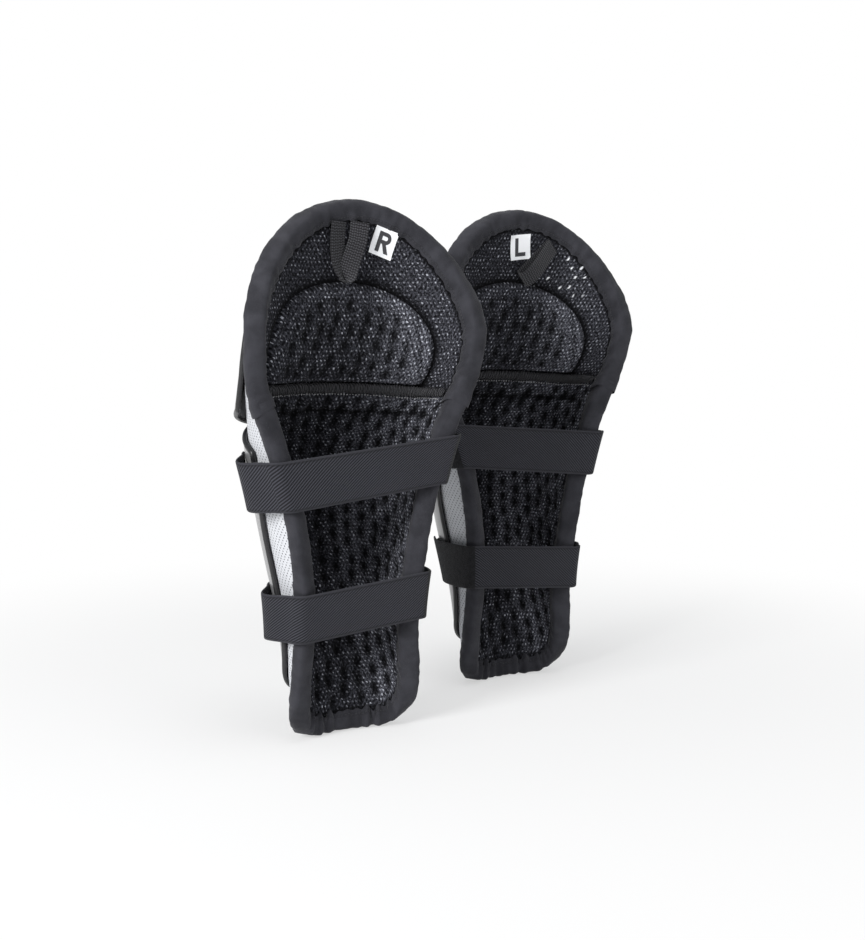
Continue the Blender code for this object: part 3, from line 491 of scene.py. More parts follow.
def border(grid):
    """The closed edge of a grid, once round."""
    return np.concatenate([grid[0, :-1], grid[:-1, -1], grid[-1, :0:-1], grid[:0:-1, 0]])


def distance_to(points, path):
    """Distance from pattern points to the nearest point of a path."""
    flat = points.reshape(-1, 2)
    parts = np.array_split(flat, 60)
    found = [np.linalg.norm(part[:, None] - path[None], axis=2).min(1) for part in parts]
    return np.concatenate(found).reshape(points.shape[:-1])


def resampled(path, spacing):
    """The same path at even spacing, with its running length."""
    run = run_along(path)
    at = np.linspace(0.0, run[-1], max(2, int(round(run[-1] / spacing)) + 1))
    return np.column_stack([np.interp(at, run, path[:, k]) for k in range(path.shape[1])]), at


def inward_normals(path, closed):
    """Unit pattern normals on the left of a path."""
    if closed:
        along = np.roll(path, -2, 0) - np.roll(path, 2, 0)
    else:
        along = np.gradient(path, axis=0)
    along = unit_rows(along)
    return np.column_stack([-along[:, 1], along[:, 0]])


def waves(at, seed, lengths):
    """A smooth irregular wave, made of a few sines."""
    phases = np.random.default_rng(seed).uniform(0.0, 2 * np.pi, len(lengths))
    sines = (np.sin(2 * np.pi * at / length + phase) for length, phase in zip(lengths, phases))
    return sum(sines) / len(lengths)


def dimples(pattern, width_share):
    """1 at the middle of each pressed dimple, fading to 0 around it; every other column is shifted."""
    column = np.round(pattern[..., 0] / DIMPLE_PITCH)
    shift = np.mod(column, 2) * DIMPLE_ROW / 2
    row = np.round((pattern[..., 1] - shift) / DIMPLE_ROW)
    stray = DIMPLE_STRAY * np.sin(column * DIMPLE_STRAY_TURNS[0] + row * DIMPLE_STRAY_TURNS[1])
    side = (pattern[..., 0] - column * DIMPLE_PITCH - stray) / (DIMPLE_HALF_WIDTH * width_share)
    rise = (pattern[..., 1] - shift - row * DIMPLE_ROW + stray) / (DIMPLE_HALF_HEIGHT * width_share)
    return np.exp(-(side**2) - rise**2)


def skin(points, uv, close_columns=False, flip=False):
    """Corners, quads and texture places of a grid; the columns can close into a ring."""
    rows, columns = points.shape[:2]
    spans = columns if close_columns else columns - 1
    i, j = np.meshgrid(np.arange(rows - 1), np.arange(spans), indexing="ij")
    corners = [(i, j), (i, j + 1), (i + 1, j + 1), (i + 1, j)]
    if flip:
        corners = corners[::-1]
    faces = np.stack([r * columns + c % columns for r, c in corners], -1).reshape(-1, 4)
    spots = np.stack([uv[r, c] for r, c in corners], -2).reshape(-1, 2)
    return points.reshape(-1, 3), faces, spots


def tube(columns, along, around):
    """A closed roll whose columns run along it."""
    return skin(np.stack(columns, 1), uv_grid(along, around), close_columns=True, flip=True)


def slab(inner, outer, uv):
    """The skins of a sheet with thickness."""
    edge_uv = np.concatenate([border(uv), border(uv)[:1]])
    rows = np.stack([border(outer), border(inner)])
    edge = skin(rows, np.stack([edge_uv, edge_uv]), close_columns=True)
    return [skin(inner, uv), skin(outer, uv, flip=True), edge]


class Surface:
    """A material under construction: its Principled shader and the sockets that feed it."""

    def __init__(self, name, roughness, **settings):
        self.material = bpy.data.materials.new(name)
        self.material.use_nodes = True
        self.tree = self.material.node_tree
        self.shader = self.tree.nodes["Principled BSDF"]
        self.shader.inputs["Roughness"].default_value = roughness
        for socket, value in settings.items():
            self.shader.inputs[socket.replace("_", " ")].default_value = value
        places = self.tree.nodes.new("ShaderNodeUVMap")
        split = self.tree.nodes.new("ShaderNodeSeparateXYZ")
        self.tree.links.new(places.outputs[0], split.inputs[0])
        self.places = places.outputs[0]
        self.u, self.v = split.outputs[0], split.outputs[1]

    def feed(self, socket, value):
        """Give a socket a number or another socket."""
        if isinstance(value, bpy.types.NodeSocket):
            self.tree.links.new(value, socket)
        else:
            socket.default_value = value

    def math(self, operation, *values):
        """One step of arithmetic."""
        node = self.tree.nodes.new("ShaderNodeMath")
        node.operation = operation
        for socket, value in zip(node.inputs, values):
            self.feed(socket, value)
        return node.outputs[0]

    def ramp(self, value, low, high, start=0.0, end=1.0):
        """Ease from start to end while the value goes from low to high."""
        node = self.tree.nodes.new("ShaderNodeMapRange")
        node.interpolation_type = "SMOOTHSTEP"
        for socket, number in zip(node.inputs, (value, low, high, start, end)):
            self.feed(socket, number)
        return node.outputs[0]

    def mix(self, factor, first, second):
        """A colour between two colours."""
        node = self.tree.nodes.new("ShaderNodeMix")
        node.data_type = "RGBA"
        self.feed(node.inputs[0], factor)
        for socket, colour in ((node.inputs[6], first), (node.inputs[7], second)):
            self.feed(socket, colour if isinstance(colour, bpy.types.NodeSocket) else (*colour, 1.0))
        return node.outputs[2]

    def noise(self, scale, detail=2.0, vector=None):
        """Soft random variation; the scale is in turns per metre."""
        node = self.tree.nodes.new("ShaderNodeTexNoise")
        self.feed(node.inputs["Vector"], vector or self.places)
        node.inputs["Scale"].default_value = scale
        node.inputs["Detail"].default_value = detail
        return node.outputs["Fac"]

    def attribute(self, name):
        """A value that the mesh carries."""
        node = self.tree.nodes.new("ShaderNodeAttribute")
        node.attribute_name = name
        return node.outputs["Fac"]

    def wander(self, scale, reach):
        """Let the texture places wander, so that rows aren't drawn with a ruler."""
        node = self.tree.nodes.new("ShaderNodeTexNoise")
        self.feed(node.inputs["Vector"], self.places)
        node.inputs["Scale"].default_value = scale
        split = self.tree.nodes.new("ShaderNodeSeparateColor")
        self.feed(split.inputs[0], node.outputs["Color"])
        self.u = self.math("MULTIPLY_ADD", split.outputs[0], reach, self.u)
        self.v = self.math("MULTIPLY_ADD", split.outputs[1], reach, self.v)

    def stretched(self, u_scale, v_scale):
        """Texture places with different scales along and across."""
        node = self.tree.nodes.new("ShaderNodeCombineXYZ")
        self.feed(node.inputs[0], self.math("MULTIPLY", self.u, u_scale))
        self.feed(node.inputs[1], self.math("MULTIPLY", self.v, v_scale))
        return node.outputs[0]

    def dots(self, pitch_u, pitch_v, radius, soft, slant=0.0):
        """Staggered dots, and a random number for each."""
        q = self.math("DIVIDE", self.v, pitch_v)
        row = self.math("FLOOR", q)
        odd = self.math("FLOORED_MODULO", row, 2.0)
        p = self.math("MULTIPLY_ADD", odd, 0.5, self.math("DIVIDE", self.u, pitch_u))
        across = self.math("MULTIPLY", self.math("SUBTRACT", self.math("FRACT", p), 0.5), pitch_u)
        along = self.math("MULTIPLY", self.math("SUBTRACT", self.math("FRACT", q), 0.5), pitch_v)
        across = self.math("MULTIPLY_ADD", along, slant, across)
        squares = self.math("ADD", self.math("POWER", across, 2.0), self.math("POWER", along, 2.0))
        reach = self.math("SQRT", squares)
        cell = self.tree.nodes.new("ShaderNodeCombineXYZ")
        self.feed(cell.inputs[0], self.math("FLOOR", p))
        self.feed(cell.inputs[1], row)
        chance = self.tree.nodes.new("ShaderNodeTexWhiteNoise")
        self.feed(chance.inputs["Vector"], cell.outputs[0])
        return self.ramp(reach, radius - soft, radius + soft, 1.0, 0.0), chance.outputs["Value"]

    def ribs(self, value, pitch):
        """A wave from 0 to 1 along a value in metres."""
        turn = self.math("SINE", self.math("MULTIPLY", value, 2 * math.pi / pitch))
        return self.math("MULTIPLY_ADD", turn, 0.5, 0.5)

    def finish(self, colour, height=None, depth=0.0005, strength=1.0, roughness=None):
        """Connect colour, relief and roughness."""
        self.feed(self.shader.inputs["Base Color"], colour)
        if height is not None:
            bump = self.tree.nodes.new("ShaderNodeBump")
            bump.inputs["Strength"].default_value = strength
            bump.inputs["Distance"].default_value = depth
            self.feed(bump.inputs["Height"], height)
            self.feed(self.shader.inputs["Normal"], bump.outputs[0])
        if roughness is not None:
            self.feed(self.shader.inputs["Roughness"], roughness)
        return self.material


def mesh_fabric(name):
    """Black spacer mesh: fuzzy ground, small holes, pale knots in wandering rows, with painted shade in
    its dimples and creases, painted light on one wall and painted glints.
    """
    s = Surface(name, 0.9, Specular_IOR_Level=0.06, Sheen_Weight=0.03, Sheen_Roughness=0.5)
    s.wander(130.0, 0.0030)
    s.wander(480.0, 0.0017)
    knots, chance = s.dots(0.0039, 0.0030, 0.00056, 0.00044, 0.45)
    holes, _ = s.dots(0.0039, 0.0015, 0.00050, 0.00035)
    fuzz = s.noise(620.0, 6.0)
    strands = s.noise(1.0, 4.0, s.stretched(900.0, 300.0))
    patches = s.ramp(s.noise(90.0, 3.0), 0.36, 0.64, 0.22, 1.0)
    # Painted shade: this attribute darkens the mesh's colour in its dimples and creases, along the seam,
    # beside the pad, on the knee and along the tape
    light = s.math("SUBTRACT", 1.0, s.math("MULTIPLY", s.attribute("hollow"), 0.95))
    pile = s.ramp(s.math("MULTIPLY", fuzz, strands), 0.14, 0.42)
    ground = s.mix(pile, (0.002, 0.002, 0.003), (0.073, 0.075, 0.092))
    # Painted light: this attribute paints the ground lighter on the wall whose inside faces the key lamp
    ground = s.mix(s.attribute("nap"), ground, s.mix(pile, (0.012, 0.012, 0.016), (0.205, 0.210, 0.248)))
    ground = s.mix(s.math("MULTIPLY", holes, 0.85), ground, (0.002, 0.002, 0.002))
    lit = s.math("MULTIPLY", s.ramp(chance, 0.10, 1.0, 0.10, 1.0), patches)
    # Painted light: the same attribute paints the knots brighter there
    lit = s.math("MULTIPLY_ADD", s.attribute("nap"), s.ramp(chance, 0.0, 1.0, 0.2, 0.6), lit)
    shine = s.math("MINIMUM", s.math("MULTIPLY", knots, lit), 1.0)
    colour = s.mix(shine, ground, (0.72, 0.74, 0.83))
    # The painted shade is laid over the colour here
    colour = s.mix(light, (0.002, 0.002, 0.0025), colour)
    # Painted glints: pale dots stand for light that shines through the holes of the mesh, high on the
    # left lining
    painted_glints, luck = s.dots(0.0092, 0.0078, 0.0012, 0.0004, 0.7)
    bright = s.math("MULTIPLY", s.ramp(s.attribute("fleck"), 0.25, 0.5), s.ramp(luck, 0.55, 0.59))
    colour = s.mix(s.math("MULTIPLY", painted_glints, bright), colour, (0.80, 0.81, 0.84))
    height = s.math("MULTIPLY_ADD", knots, 0.6, fuzz)
    return s.finish(colour, height, 0.0008, 1.0)


def cover_fabric(name):
    """White spacer fabric with rows of small holes."""
    s = Surface(name, 0.75, Specular_IOR_Level=0.2, Sheen_Weight=0.1)
    holes, chance = s.dots(0.0046, 0.0021, 0.00052, 0.00024, 0.35)
    fuzz = s.noise(700.0, 3.0)
    cloudy = s.noise(60.0)
    white = s.mix(cloudy, (0.54, 0.55, 0.58), (0.65, 0.66, 0.68))
    white = s.mix(s.math("MULTIPLY", fuzz, 0.35), white, (0.46, 0.47, 0.51))
    open_holes = s.math("MULTIPLY", holes, s.ramp(chance, 0.0, 0.4, 0.6, 1.0))
    colour = s.mix(open_holes, white, (0.025, 0.025, 0.03))
    height = s.math("SUBTRACT", s.math("MULTIPLY", fuzz, 0.3), holes)
    return s.finish(colour, height, 0.0005, 0.7)


def tape_fabric(name, stitch_at):
    """Charcoal binding tape: fine weave, lint, and a row of stitches along it, with painted shade in the
    stitch groove.
    """
    s = Surface(name, 0.85, Specular_IOR_Level=0.2, Sheen_Weight=0.12, Sheen_Roughness=0.4)
    weave = s.math("MULTIPLY", s.ribs(s.u, 0.0007), s.ribs(s.v, 0.0006))
    worn = s.noise(60.0, 3.0)
    lint = s.ramp(s.noise(1500.0, 2.0), 0.58, 0.78)
    colour = s.mix(s.ramp(worn, 0.3, 0.7), (0.023, 0.023, 0.028), (0.041, 0.041, 0.049))
    colour = s.mix(s.math("MULTIPLY", lint, 0.5), colour, (0.085, 0.085, 0.096))
    from_row = s.math("ABSOLUTE", s.math("SUBTRACT", s.v, stitch_at))
    dash = s.ramp(s.ribs(s.u, 0.0032), 0.25, 0.45)
    stitch = s.math("MULTIPLY", s.ramp(from_row, 0.0003, 0.0006, 1.0, 0.0), dash)
    shaded_groove = s.ramp(from_row, 0.0004, 0.0014, 1.0, 0.0)
    # Painted shade: the colour is darkened along the stitch groove
    colour = s.mix(s.math("MULTIPLY", shaded_groove, 0.3), colour, (0.012, 0.012, 0.014))
    colour = s.mix(s.math("MULTIPLY", stitch, 0.5), colour, (0.050, 0.050, 0.057))
    height = s.math("ADD", s.math("MULTIPLY", weave, 0.25), s.math("SUBTRACT", stitch, shaded_groove))
    return s.finish(colour, height, 0.0006, 0.7)


def elastic_fabric(name):
    """Woven elastic: slanting twill ribs and plain selvages."""
    s = Surface(name, 0.8, Specular_IOR_Level=0.2, Sheen_Weight=0.08, Sheen_Roughness=0.4)
    reach = s.math("ABSOLUTE", s.v)
    edge = s.ramp(reach, STRAP_WIDTH / 2 - 0.0016, STRAP_WIDTH / 2 - 0.0010)
    inside = s.ramp(reach, STRAP_WIDTH / 2 - 0.0034, STRAP_WIDTH / 2 - 0.0018)
    slanted = s.math("MULTIPLY_ADD", s.v, -1.28, s.u)
    twill = s.ribs(slanted, 0.0029)
    cord = s.ribs(s.v, 0.0011)
    grain = s.noise(1300.0, 2.0)
    cloudy = s.noise(30.0)
    colour = s.mix(twill, (0.001, 0.001, 0.0015), (0.064, 0.065, 0.081))
    colour = s.mix(s.math("MULTIPLY", grain, 0.18), colour, (0.020, 0.020, 0.024))
    colour = s.mix(s.math("MULTIPLY", inside, 0.6), colour, (0.010, 0.010, 0.012))
    colour = s.mix(edge, colour, (0.036, 0.036, 0.044))
    colour = s.mix(s.math("MULTIPLY", cloudy, 0.3), colour, (0.016, 0.016, 0.018))
    flat = s.math("SUBTRACT", 1.0, inside)
    height = s.math("MULTIPLY", s.math("MULTIPLY_ADD", cord, 0.3, twill), flat)
    return s.finish(colour, s.math("ADD", height, edge), 0.0006, 0.8)


def webbing_fabric(name):
    """Ribbed tape: cross ribs that are staggered at every cord along it."""
    s = Surface(name, 0.8, Specular_IOR_Level=0.2, Sheen_Weight=0.1)
    lane = s.math("FLOOR", s.math("DIVIDE", s.v, 0.0018))
    stagger = s.math("MULTIPLY", s.math("FLOORED_MODULO", lane, 2.0), 0.0004)
    ribs = s.ribs(s.math("ADD", s.u, stagger), 0.0020)
    cords = s.ribs(s.v, 0.0018)
    grain = s.noise(1500.0)
    raised = s.math("MULTIPLY", ribs, s.ramp(cords, 0.0, 0.8, 0.3, 1.0))
    colour = s.mix(raised, (0.005, 0.005, 0.006), (0.088, 0.088, 0.098))
    colour = s.mix(s.math("MULTIPLY", grain, 0.3), colour, (0.024, 0.024, 0.028))
    return s.finish(colour, s.math("MULTIPLY_ADD", cords, 0.4, ribs), 0.0007, 1.0)


def hook_fabric(name):
    """Black fuzzy hook tape."""
    s = Surface(name, 0.95, Specular_IOR_Level=0.1, Sheen_Weight=0.12, Sheen_Roughness=0.6)
    fuzz = s.noise(1100.0, 5.0)
    nap = s.noise(220.0, 3.0)
    colour = s.mix(s.math("MULTIPLY", fuzz, nap), (0.002, 0.002, 0.003), (0.040, 0.040, 0.044))
    return s.finish(colour, s.math("MULTIPLY_ADD", nap, 0.8, fuzz), 0.0009, 0.9)


def welt_thread(name):
    """Rolled seam covered with close stitches."""
    s = Surface(name, 0.8, Specular_IOR_Level=0.15, Sheen_Weight=0.1)
    wobble = s.math("MULTIPLY_ADD", s.noise(160.0), 0.0016, s.u)
    thread = s.ribs(s.math("MULTIPLY_ADD", s.v, 0.35, wobble), 0.0013)
    fuzz = s.noise(1400.0, 3.0)
    colour = s.mix(thread, (0.003, 0.003, 0.004), (0.105, 0.105, 0.116))
    colour = s.mix(s.math("MULTIPLY", fuzz, 0.4), colour, (0.016, 0.016, 0.018))
    return s.finish(colour, s.math("MULTIPLY_ADD", fuzz, 0.4, thread), 0.0009, 1.0)


def shell_plastic(name):
    """Moulded grey plastic with a fine grain and light scuffs."""
    s = Surface(name, 0.32, Coat_Weight=0.15, Coat_Roughness=0.2)
    grain = s.noise(1600.0, 1.0)
    cloudy = s.noise(18.0, 3.0)
    scuffs = s.ramp(s.noise(1.0, 3.0, s.stretched(420.0, 40.0)), 0.66, 0.78)
    colour = s.mix(cloudy, (0.205, 0.205, 0.210), (0.245, 0.245, 0.250))
    colour = s.mix(s.math("MULTIPLY", scuffs, 0.3), colour, (0.34, 0.34, 0.34))
    rough = s.math("MULTIPLY_ADD", scuffs, 0.18, s.math("MULTIPLY_ADD", cloudy, 0.10, 0.26))
    return s.finish(colour, grain, 0.00008, 0.4, rough)


def trim_rubber(name):
    """Black moulded edge."""
    s = Surface(name, 0.4)
    grain = s.noise(1400.0, 2.0)
    worn = s.noise(90.0, 3.0)
    colour = s.mix(worn, (0.009, 0.009, 0.010), (0.022, 0.022, 0.024))
    return s.finish(colour, grain, 0.0001, 0.5, s.ramp(worn, 0.3, 0.7, 0.32, 0.52))


def label_cloth(name, low, high):
    """Close woven label cloth."""
    s = Surface(name, 0.65)
    weave = s.math("MULTIPLY", s.ribs(s.u, 0.0006), s.ribs(s.v, 0.0005))
    cloudy = s.noise(220.0, 2.0)
    return s.finish(s.mix(cloudy, low, high), weave, 0.00015, 0.6)


def pale_thread(name):
    """Pale sewing thread."""
    s = Surface(name, 0.6)
    twist = s.ribs(s.math("ADD", s.u, s.v), 0.0006)
    return s.finish(s.mix(twist, (0.30, 0.30, 0.31), (0.62, 0.62, 0.64)), twist, 0.0002, 0.6)


def joint_named(name):
    """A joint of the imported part."""
    return next(joint for joint in frame["joints"] if joint["name"] == name)


class Guard:
    """One guard: its side, its place and the pieces that are drawn for it."""

    def __init__(self, name, side):
        self.name = name
        self.side = side
        seam_end = seam_height(1.0)
        from_foot = np.array((0.0, -back_lean(seam_end) - KNEE_AXIS_BACK, seam_end))
        self.foot = np.array(joint_named(f"{name}_knee_flex")["pos_m"]) - from_foot
        self.seed = 11 if side > 0 else 23
        self.texture_shift = 0.0 if side > 0 else 0.5

    def add(self, piece, skins, material, nodes, slot, sharp=55.0, **shading):
        """Join skins into a piece that stands for its nodes; shading values go to the first skin."""
        count = 0
        points, faces, spots = [], [], []
        for skin_points, skin_faces, skin_spots in skins:
            points.append(skin_points)
            faces.append(skin_faces[:, ::self.side] + count)
            spots.append(skin_spots.reshape(-1, 4, 2)[:, ::self.side].reshape(-1, 2))
            count += len(skin_points)
        placed = np.concatenate(points) * np.array((self.side, 1.0, 1.0)) + self.foot
        name = f"{self.name}_{piece}_look"
        mesh = bpy.data.meshes.new(name)
        mesh.from_pydata(placed.tolist(), [], np.concatenate(faces).tolist())
        layer = mesh.uv_layers.new(name="UVMap")
        layer.data.foreach_set("uv", np.concatenate(spots).astype(np.float32).ravel())
        for key, values in shading.items():
            carried = np.zeros(count, np.float32)
            carried[:values.size] = values.ravel()
            mesh.attributes.new(key, "FLOAT", "POINT").data.foreach_set("value", carried)
        form = bmesh.new()
        form.from_mesh(mesh)
        bmesh.ops.remove_doubles(form, verts=form.verts, dist=1e-6)
        form.to_mesh(mesh)
        form.free()
        mesh.shade_smooth()
        mesh.set_sharp_from_angle(angle=math.radians(sharp))
        mesh.materials.append(material)
        thing = bpy.data.objects.new(name, mesh)
        scene.collection.objects.link(thing)
        if nodes:
            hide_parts(*(f"{self.name}_{node}" for node in nodes))
        return thing

    def nap(self, pattern):
        """Painted light: the wall of the guard whose inside faces the key lamp is painted lighter."""
        outward = read_lattice(OUTWARD, pattern[..., 0], pattern[..., 1])
        return smooth_step((outward[..., 0] * self.side - PAINTED_LIGHT_START) / PAINTED_LIGHT_RANGE)

    def seam(self, girth_share):
        """Height of the sewn seam, which slopes a little across both guards."""
        return seam_height(girth_share) + SEAM_LOOK_LIFT - SEAM_LOOK_TILT * self.side * girth_share

    def ride(self, thing, body):
        """The piece moves with one body of this guard."""
        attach(thing, f"{self.name}_{body}")

    def bend_at_knee(self, thing):
        """Bake the piece's place into its mesh; it is not bent between shin and knee."""
        low = (*self.foot[:2], BEND_LOW)
        high = (*self.foot[:2], BEND_HIGH)
        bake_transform(thing)

    def bend_at(self, thing, first, second, axis_point, direction, length):
        """Bake the piece's place into its mesh; it is not bent between the two bodies."""
        start = np.array(axis_point)
        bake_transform(thing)


CLOTH_SETTINGS = {
    "quality": 6,
    "mass": 0.2,
    "tension_stiffness": 12.0,
    "compression_stiffness": 8.0,
    "shear_stiffness": 4.0,
    "bending_stiffness": 0.05,
    "shrink_min": -0.05,
    "vertex_group_mass": "pins",
    "use_pressure": True,
    "uniform_pressure_force": PUFF_PRESSURE,
}


def swollen(points, pinned, cap):
    """How far each point rises when a sheet swells between its pinned points as simulated cloth."""
    rows, columns = points.shape[:2]
    corners, faces, _ = skin(points, np.zeros((rows, columns, 2)))
    mesh = bpy.data.meshes.new("swelling")
    mesh.from_pydata((corners * SIMULATION_SCALE).tolist(), [], faces.tolist())
    sheet = bpy.data.objects.new("swelling", mesh)
    scene.collection.objects.link(sheet)
    pins = sheet.vertex_groups.new(name="pins")
    pins.add(np.flatnonzero(pinned.ravel()).tolist(), 1.0, "REPLACE")
    cloth = sheet.modifiers.new("Cloth", "CLOTH")
    for setting, value in CLOTH_SETTINGS.items():
        setattr(cloth.settings, setting, value)
    cloth.settings.effector_weights.gravity = 0.0
    cloth.collision_settings.use_collision = False
    cloth.point_cache.frame_start = 1
    cloth.point_cache.frame_end = SIMULATION_FRAMES
    for number in range(1, SIMULATION_FRAMES + 1):
        scene.frame_set(number)
    settled = sheet.evaluated_get(bpy.context.evaluated_depsgraph_get())
    places = np.empty(rows * columns * 3, np.float32)
    settled.data.vertices.foreach_get("co", places)
    bpy.data.objects.remove(sheet)
    scene.frame_set(1)
    to_leg = unit_rows(np.cross(np.gradient(points, axis=1), np.gradient(points, axis=0)))
    moved = places.reshape(rows, columns, 3) / SIMULATION_SCALE - points
    return np.clip(np.sum(moved * to_leg, -1), 0.0, cap)


def refined(grid):
    """Values halfway between the points of a grid, in both directions."""
    for axis in (0, 1):
        grid = np.moveaxis(grid, axis, 0)
        fine = np.empty((2 * grid.shape[0] - 1,) + grid.shape[1:])
        fine[::2] = grid
        fine[1::2] = (grid[:-1] + grid[1:]) / 2
        grid = np.moveaxis(fine, 0, axis)
    return grid


def softened(grid):
    """Each value evened out with its neighbours."""
    for axis in (0, 1):
        before = np.roll(grid, 1, axis)
        after = np.roll(grid, -1, axis)
        grid = (before + 2 * grid + after) / 4
    return grid


PIN_BELOW_FREE = 0.3
PIN_IN_DIMPLE = 0.45


def rise_between_dimples(pattern, free, cap, lift):
    """How far the fabric stands up between the pressed dimples, and the dimples themselves."""
    pits = dimples(pattern, 1.0) * free
    coarse = pattern[::2, ::2]
    pinned = (free[::2, ::2] < PIN_BELOW_FREE) | (dimples(coarse, 1.0) > PIN_IN_DIMPLE)
    edge = np.ones(pinned.shape, bool)
    edge[1:-1, 1:-1] = False
    rise = swollen(on_form(coarse[..., 0], coarse[..., 1], lift), pinned | edge, cap)
    return softened(refined(rise)) - DIMPLE_DEPTH * pits


def tilted_pad(pattern):
    """The pad follows the slight slope of the sewn seam, and its arch slopes more."""
    girth, height = pattern[..., 0], pattern[..., 1]
    slope = SEAM_LOOK_TILT + PAD_LOOK_TILT * smooth_step((height - SEAM_HEIGHT) / KNEE_PAD_RISE)
    return np.stack([girth, height + SEAM_LOOK_LIFT - slope * girth / rim_girth(height)], -1)


LINING_PATTERN = body_pattern(120, 124, 60)
LINING_EDGE = np.concatenate([
    LINING_PATTERN[::-1, 0], LINING_PATTERN[0], LINING_PATTERN[:, -1], LINING_PATTERN[-1],
])
RIM_SHARE = LINING_PATTERN[..., 0] / rim_girth(LINING_PATTERN[..., 1])
BELOW_SEAM = seam_height(RIM_SHARE) + SEAM_LOOK_LIFT - SEAM_LOOK_TILT * RIM_SHARE - LINING_PATTERN[..., 1]
EDGE_DISTANCE = distance_to(LINING_PATTERN, LINING_EDGE)
PAD_PATTERN = tilted_pad(knee_pad_pattern(80, 52))
PAD_ARCH = np.concatenate([PAD_PATTERN[::-1, 0], PAD_PATTERN[-1], PAD_PATTERN[:, -1]])

# Relief of the lining, which the tape and the seam hold down: a crease and a roll along the seam
TAPE_HOLD = 0.012
TAPE_FADE = 0.008
SEAM_HOLD = 0.006
CREASE_BELOW_SEAM = 0.0215
CREASE_HALF_WIDTH = 0.0022
CREASE_DEPTH = 0.0016
CREASE_EDGE = 0.016
CREASE_FADE = 0.02
ROLL_DEPTH = 0.0012
ROLL_HALF_WIDTH = 0.0055
ROLL_FADE = 0.01

# Painted shade of the lining, from 0 to 1, in its dimples and creases and beside the pad and the tape
DIMPLE_SHADE = 1.15
DIMPLE_SHADE_SPREAD = 1.75
CREASE_SHADE = 0.8
SEAM_SHADE = 0.8
PAD_SIDE_SHADE = 0.9
PAD_SIDE_HALF_WIDTH = 0.0048
KNEE_SHADE = 0.25
KNEE_FADE = 0.01
TAPE_SHADE = 0.9
TAPE_SHADE_REACH = 0.016
TAPE_SHADE_FADE = 0.003

# Painted light in a band under the seam, and painted glints of light through the holes high on the left
# lining
SEAM_BAND_PAINTED_LIGHT = 0.26
SEAM_BAND_MIDDLE = 0.015
SEAM_BAND_HALF_WIDTH = 0.012
PAINTED_GLINT_PLACE = (-0.052, 0.352)
PAINTED_GLINT_HALF_WIDTH = 0.034
PAINTED_GLINT_HALF_HEIGHT = 0.018

# Rounded edges and painted shade of the knee pad
PAD_ARCH_ROUND = 0.0085
PAD_FOOT_ROUND = 0.006
PAD_FOOT_SHARE = 0.62
PAD_FOOT_HOLD_SHARE = 2.6
PAD_HOLD = 0.007
PAD_FADE = 0.006
PAD_DIMPLE_SPREAD = 1.9
PAD_RIM_SHADE = 0.5
PAD_RIM_SHADE_WIDTH = 0.005
PAD_SINK = 0.0015


def lining_rise():
    """Relief and painted shade of the lining: puffs and dimples on the shin, a crease under the flex
    seam.
    """
    free = smooth_step((EDGE_DISTANCE - TAPE_HOLD) / TAPE_FADE)
    free = free * smooth_step((BELOW_SEAM - SEAM_HOLD) / SEAM_HOLD)
    rise = rise_between_dimples(LINING_PATTERN, free, PUFF_CAP, LINER_LIFT)
    crease = bell(BELOW_SEAM - CREASE_BELOW_SEAM, CREASE_HALF_WIDTH)
    crease = crease * smooth_step((EDGE_DISTANCE - CREASE_EDGE) / CREASE_FADE)
    roll = bell(BELOW_SEAM, ROLL_HALF_WIDTH) * smooth_step((EDGE_DISTANCE - TAPE_HOLD) / ROLL_FADE)
    beside_pad = distance_to(LINING_PATTERN, resampled(PAD_ARCH, PATH_STEP)[0])
    # Painted shade for the mesh's colour: dimples, crease, seam, beside the pad, the knee and along the
    # tape
    shade = sum((
        DIMPLE_SHADE * dimples(LINING_PATTERN, DIMPLE_SHADE_SPREAD) * free,
        CREASE_SHADE * crease,
        SEAM_SHADE * bell(BELOW_SEAM, SEAM_HOLD),
        PAD_SIDE_SHADE * bell(beside_pad, PAD_SIDE_HALF_WIDTH),
        KNEE_SHADE * smooth_step(-BELOW_SEAM / KNEE_FADE),
        TAPE_SHADE * smooth_step((TAPE_SHADE_REACH - EDGE_DISTANCE) / TAPE_SHADE_FADE),
    ))
    return rise - CREASE_DEPTH * crease - ROLL_DEPTH * roll, np.clip(shade, 0.0, 1.0)


def rounded(distance, radius):
    """Quarter round from 0 at an edge to 1 at a radius from it."""
    return np.sqrt(1 - (1 - np.clip(distance / radius, 0.0, 1.0)) ** 2)


def pad_rise(pattern):
    """Thickness and painted shade of the knee pad over its pattern: a soft rounded edge, puffs and
    dimples.
    """
    from_foot = distance_to(pattern, resampled(pattern[0], PATH_STEP)[0])
    from_arch = distance_to(pattern, resampled(PAD_ARCH, PATH_STEP)[0])
    foot_round = PAD_FOOT_SHARE + (1 - PAD_FOOT_SHARE) * rounded(from_foot, PAD_FOOT_ROUND)
    crown = rounded(from_arch, PAD_ARCH_ROUND) * foot_round
    free = smooth_step((np.minimum(from_arch, PAD_FOOT_HOLD_SHARE * from_foot) - PAD_HOLD) / PAD_FADE)
    relief = rise_between_dimples(pattern, free, PAD_PUFF_CAP, LINER_LIFT - KNEE_PAD_THICKNESS)
    # Painted shade along the pad's arch and in its dimples
    rim_shade = PAD_RIM_SHADE * (1 - np.clip(from_arch / PAD_RIM_SHADE_WIDTH, 0.0, 1.0)) ** 3
    shade = np.clip(dimples(pattern, PAD_DIMPLE_SPREAD) * free + rim_shade, 0.0, 1.0)
    return KNEE_PAD_THICKNESS * crown + relief, shade


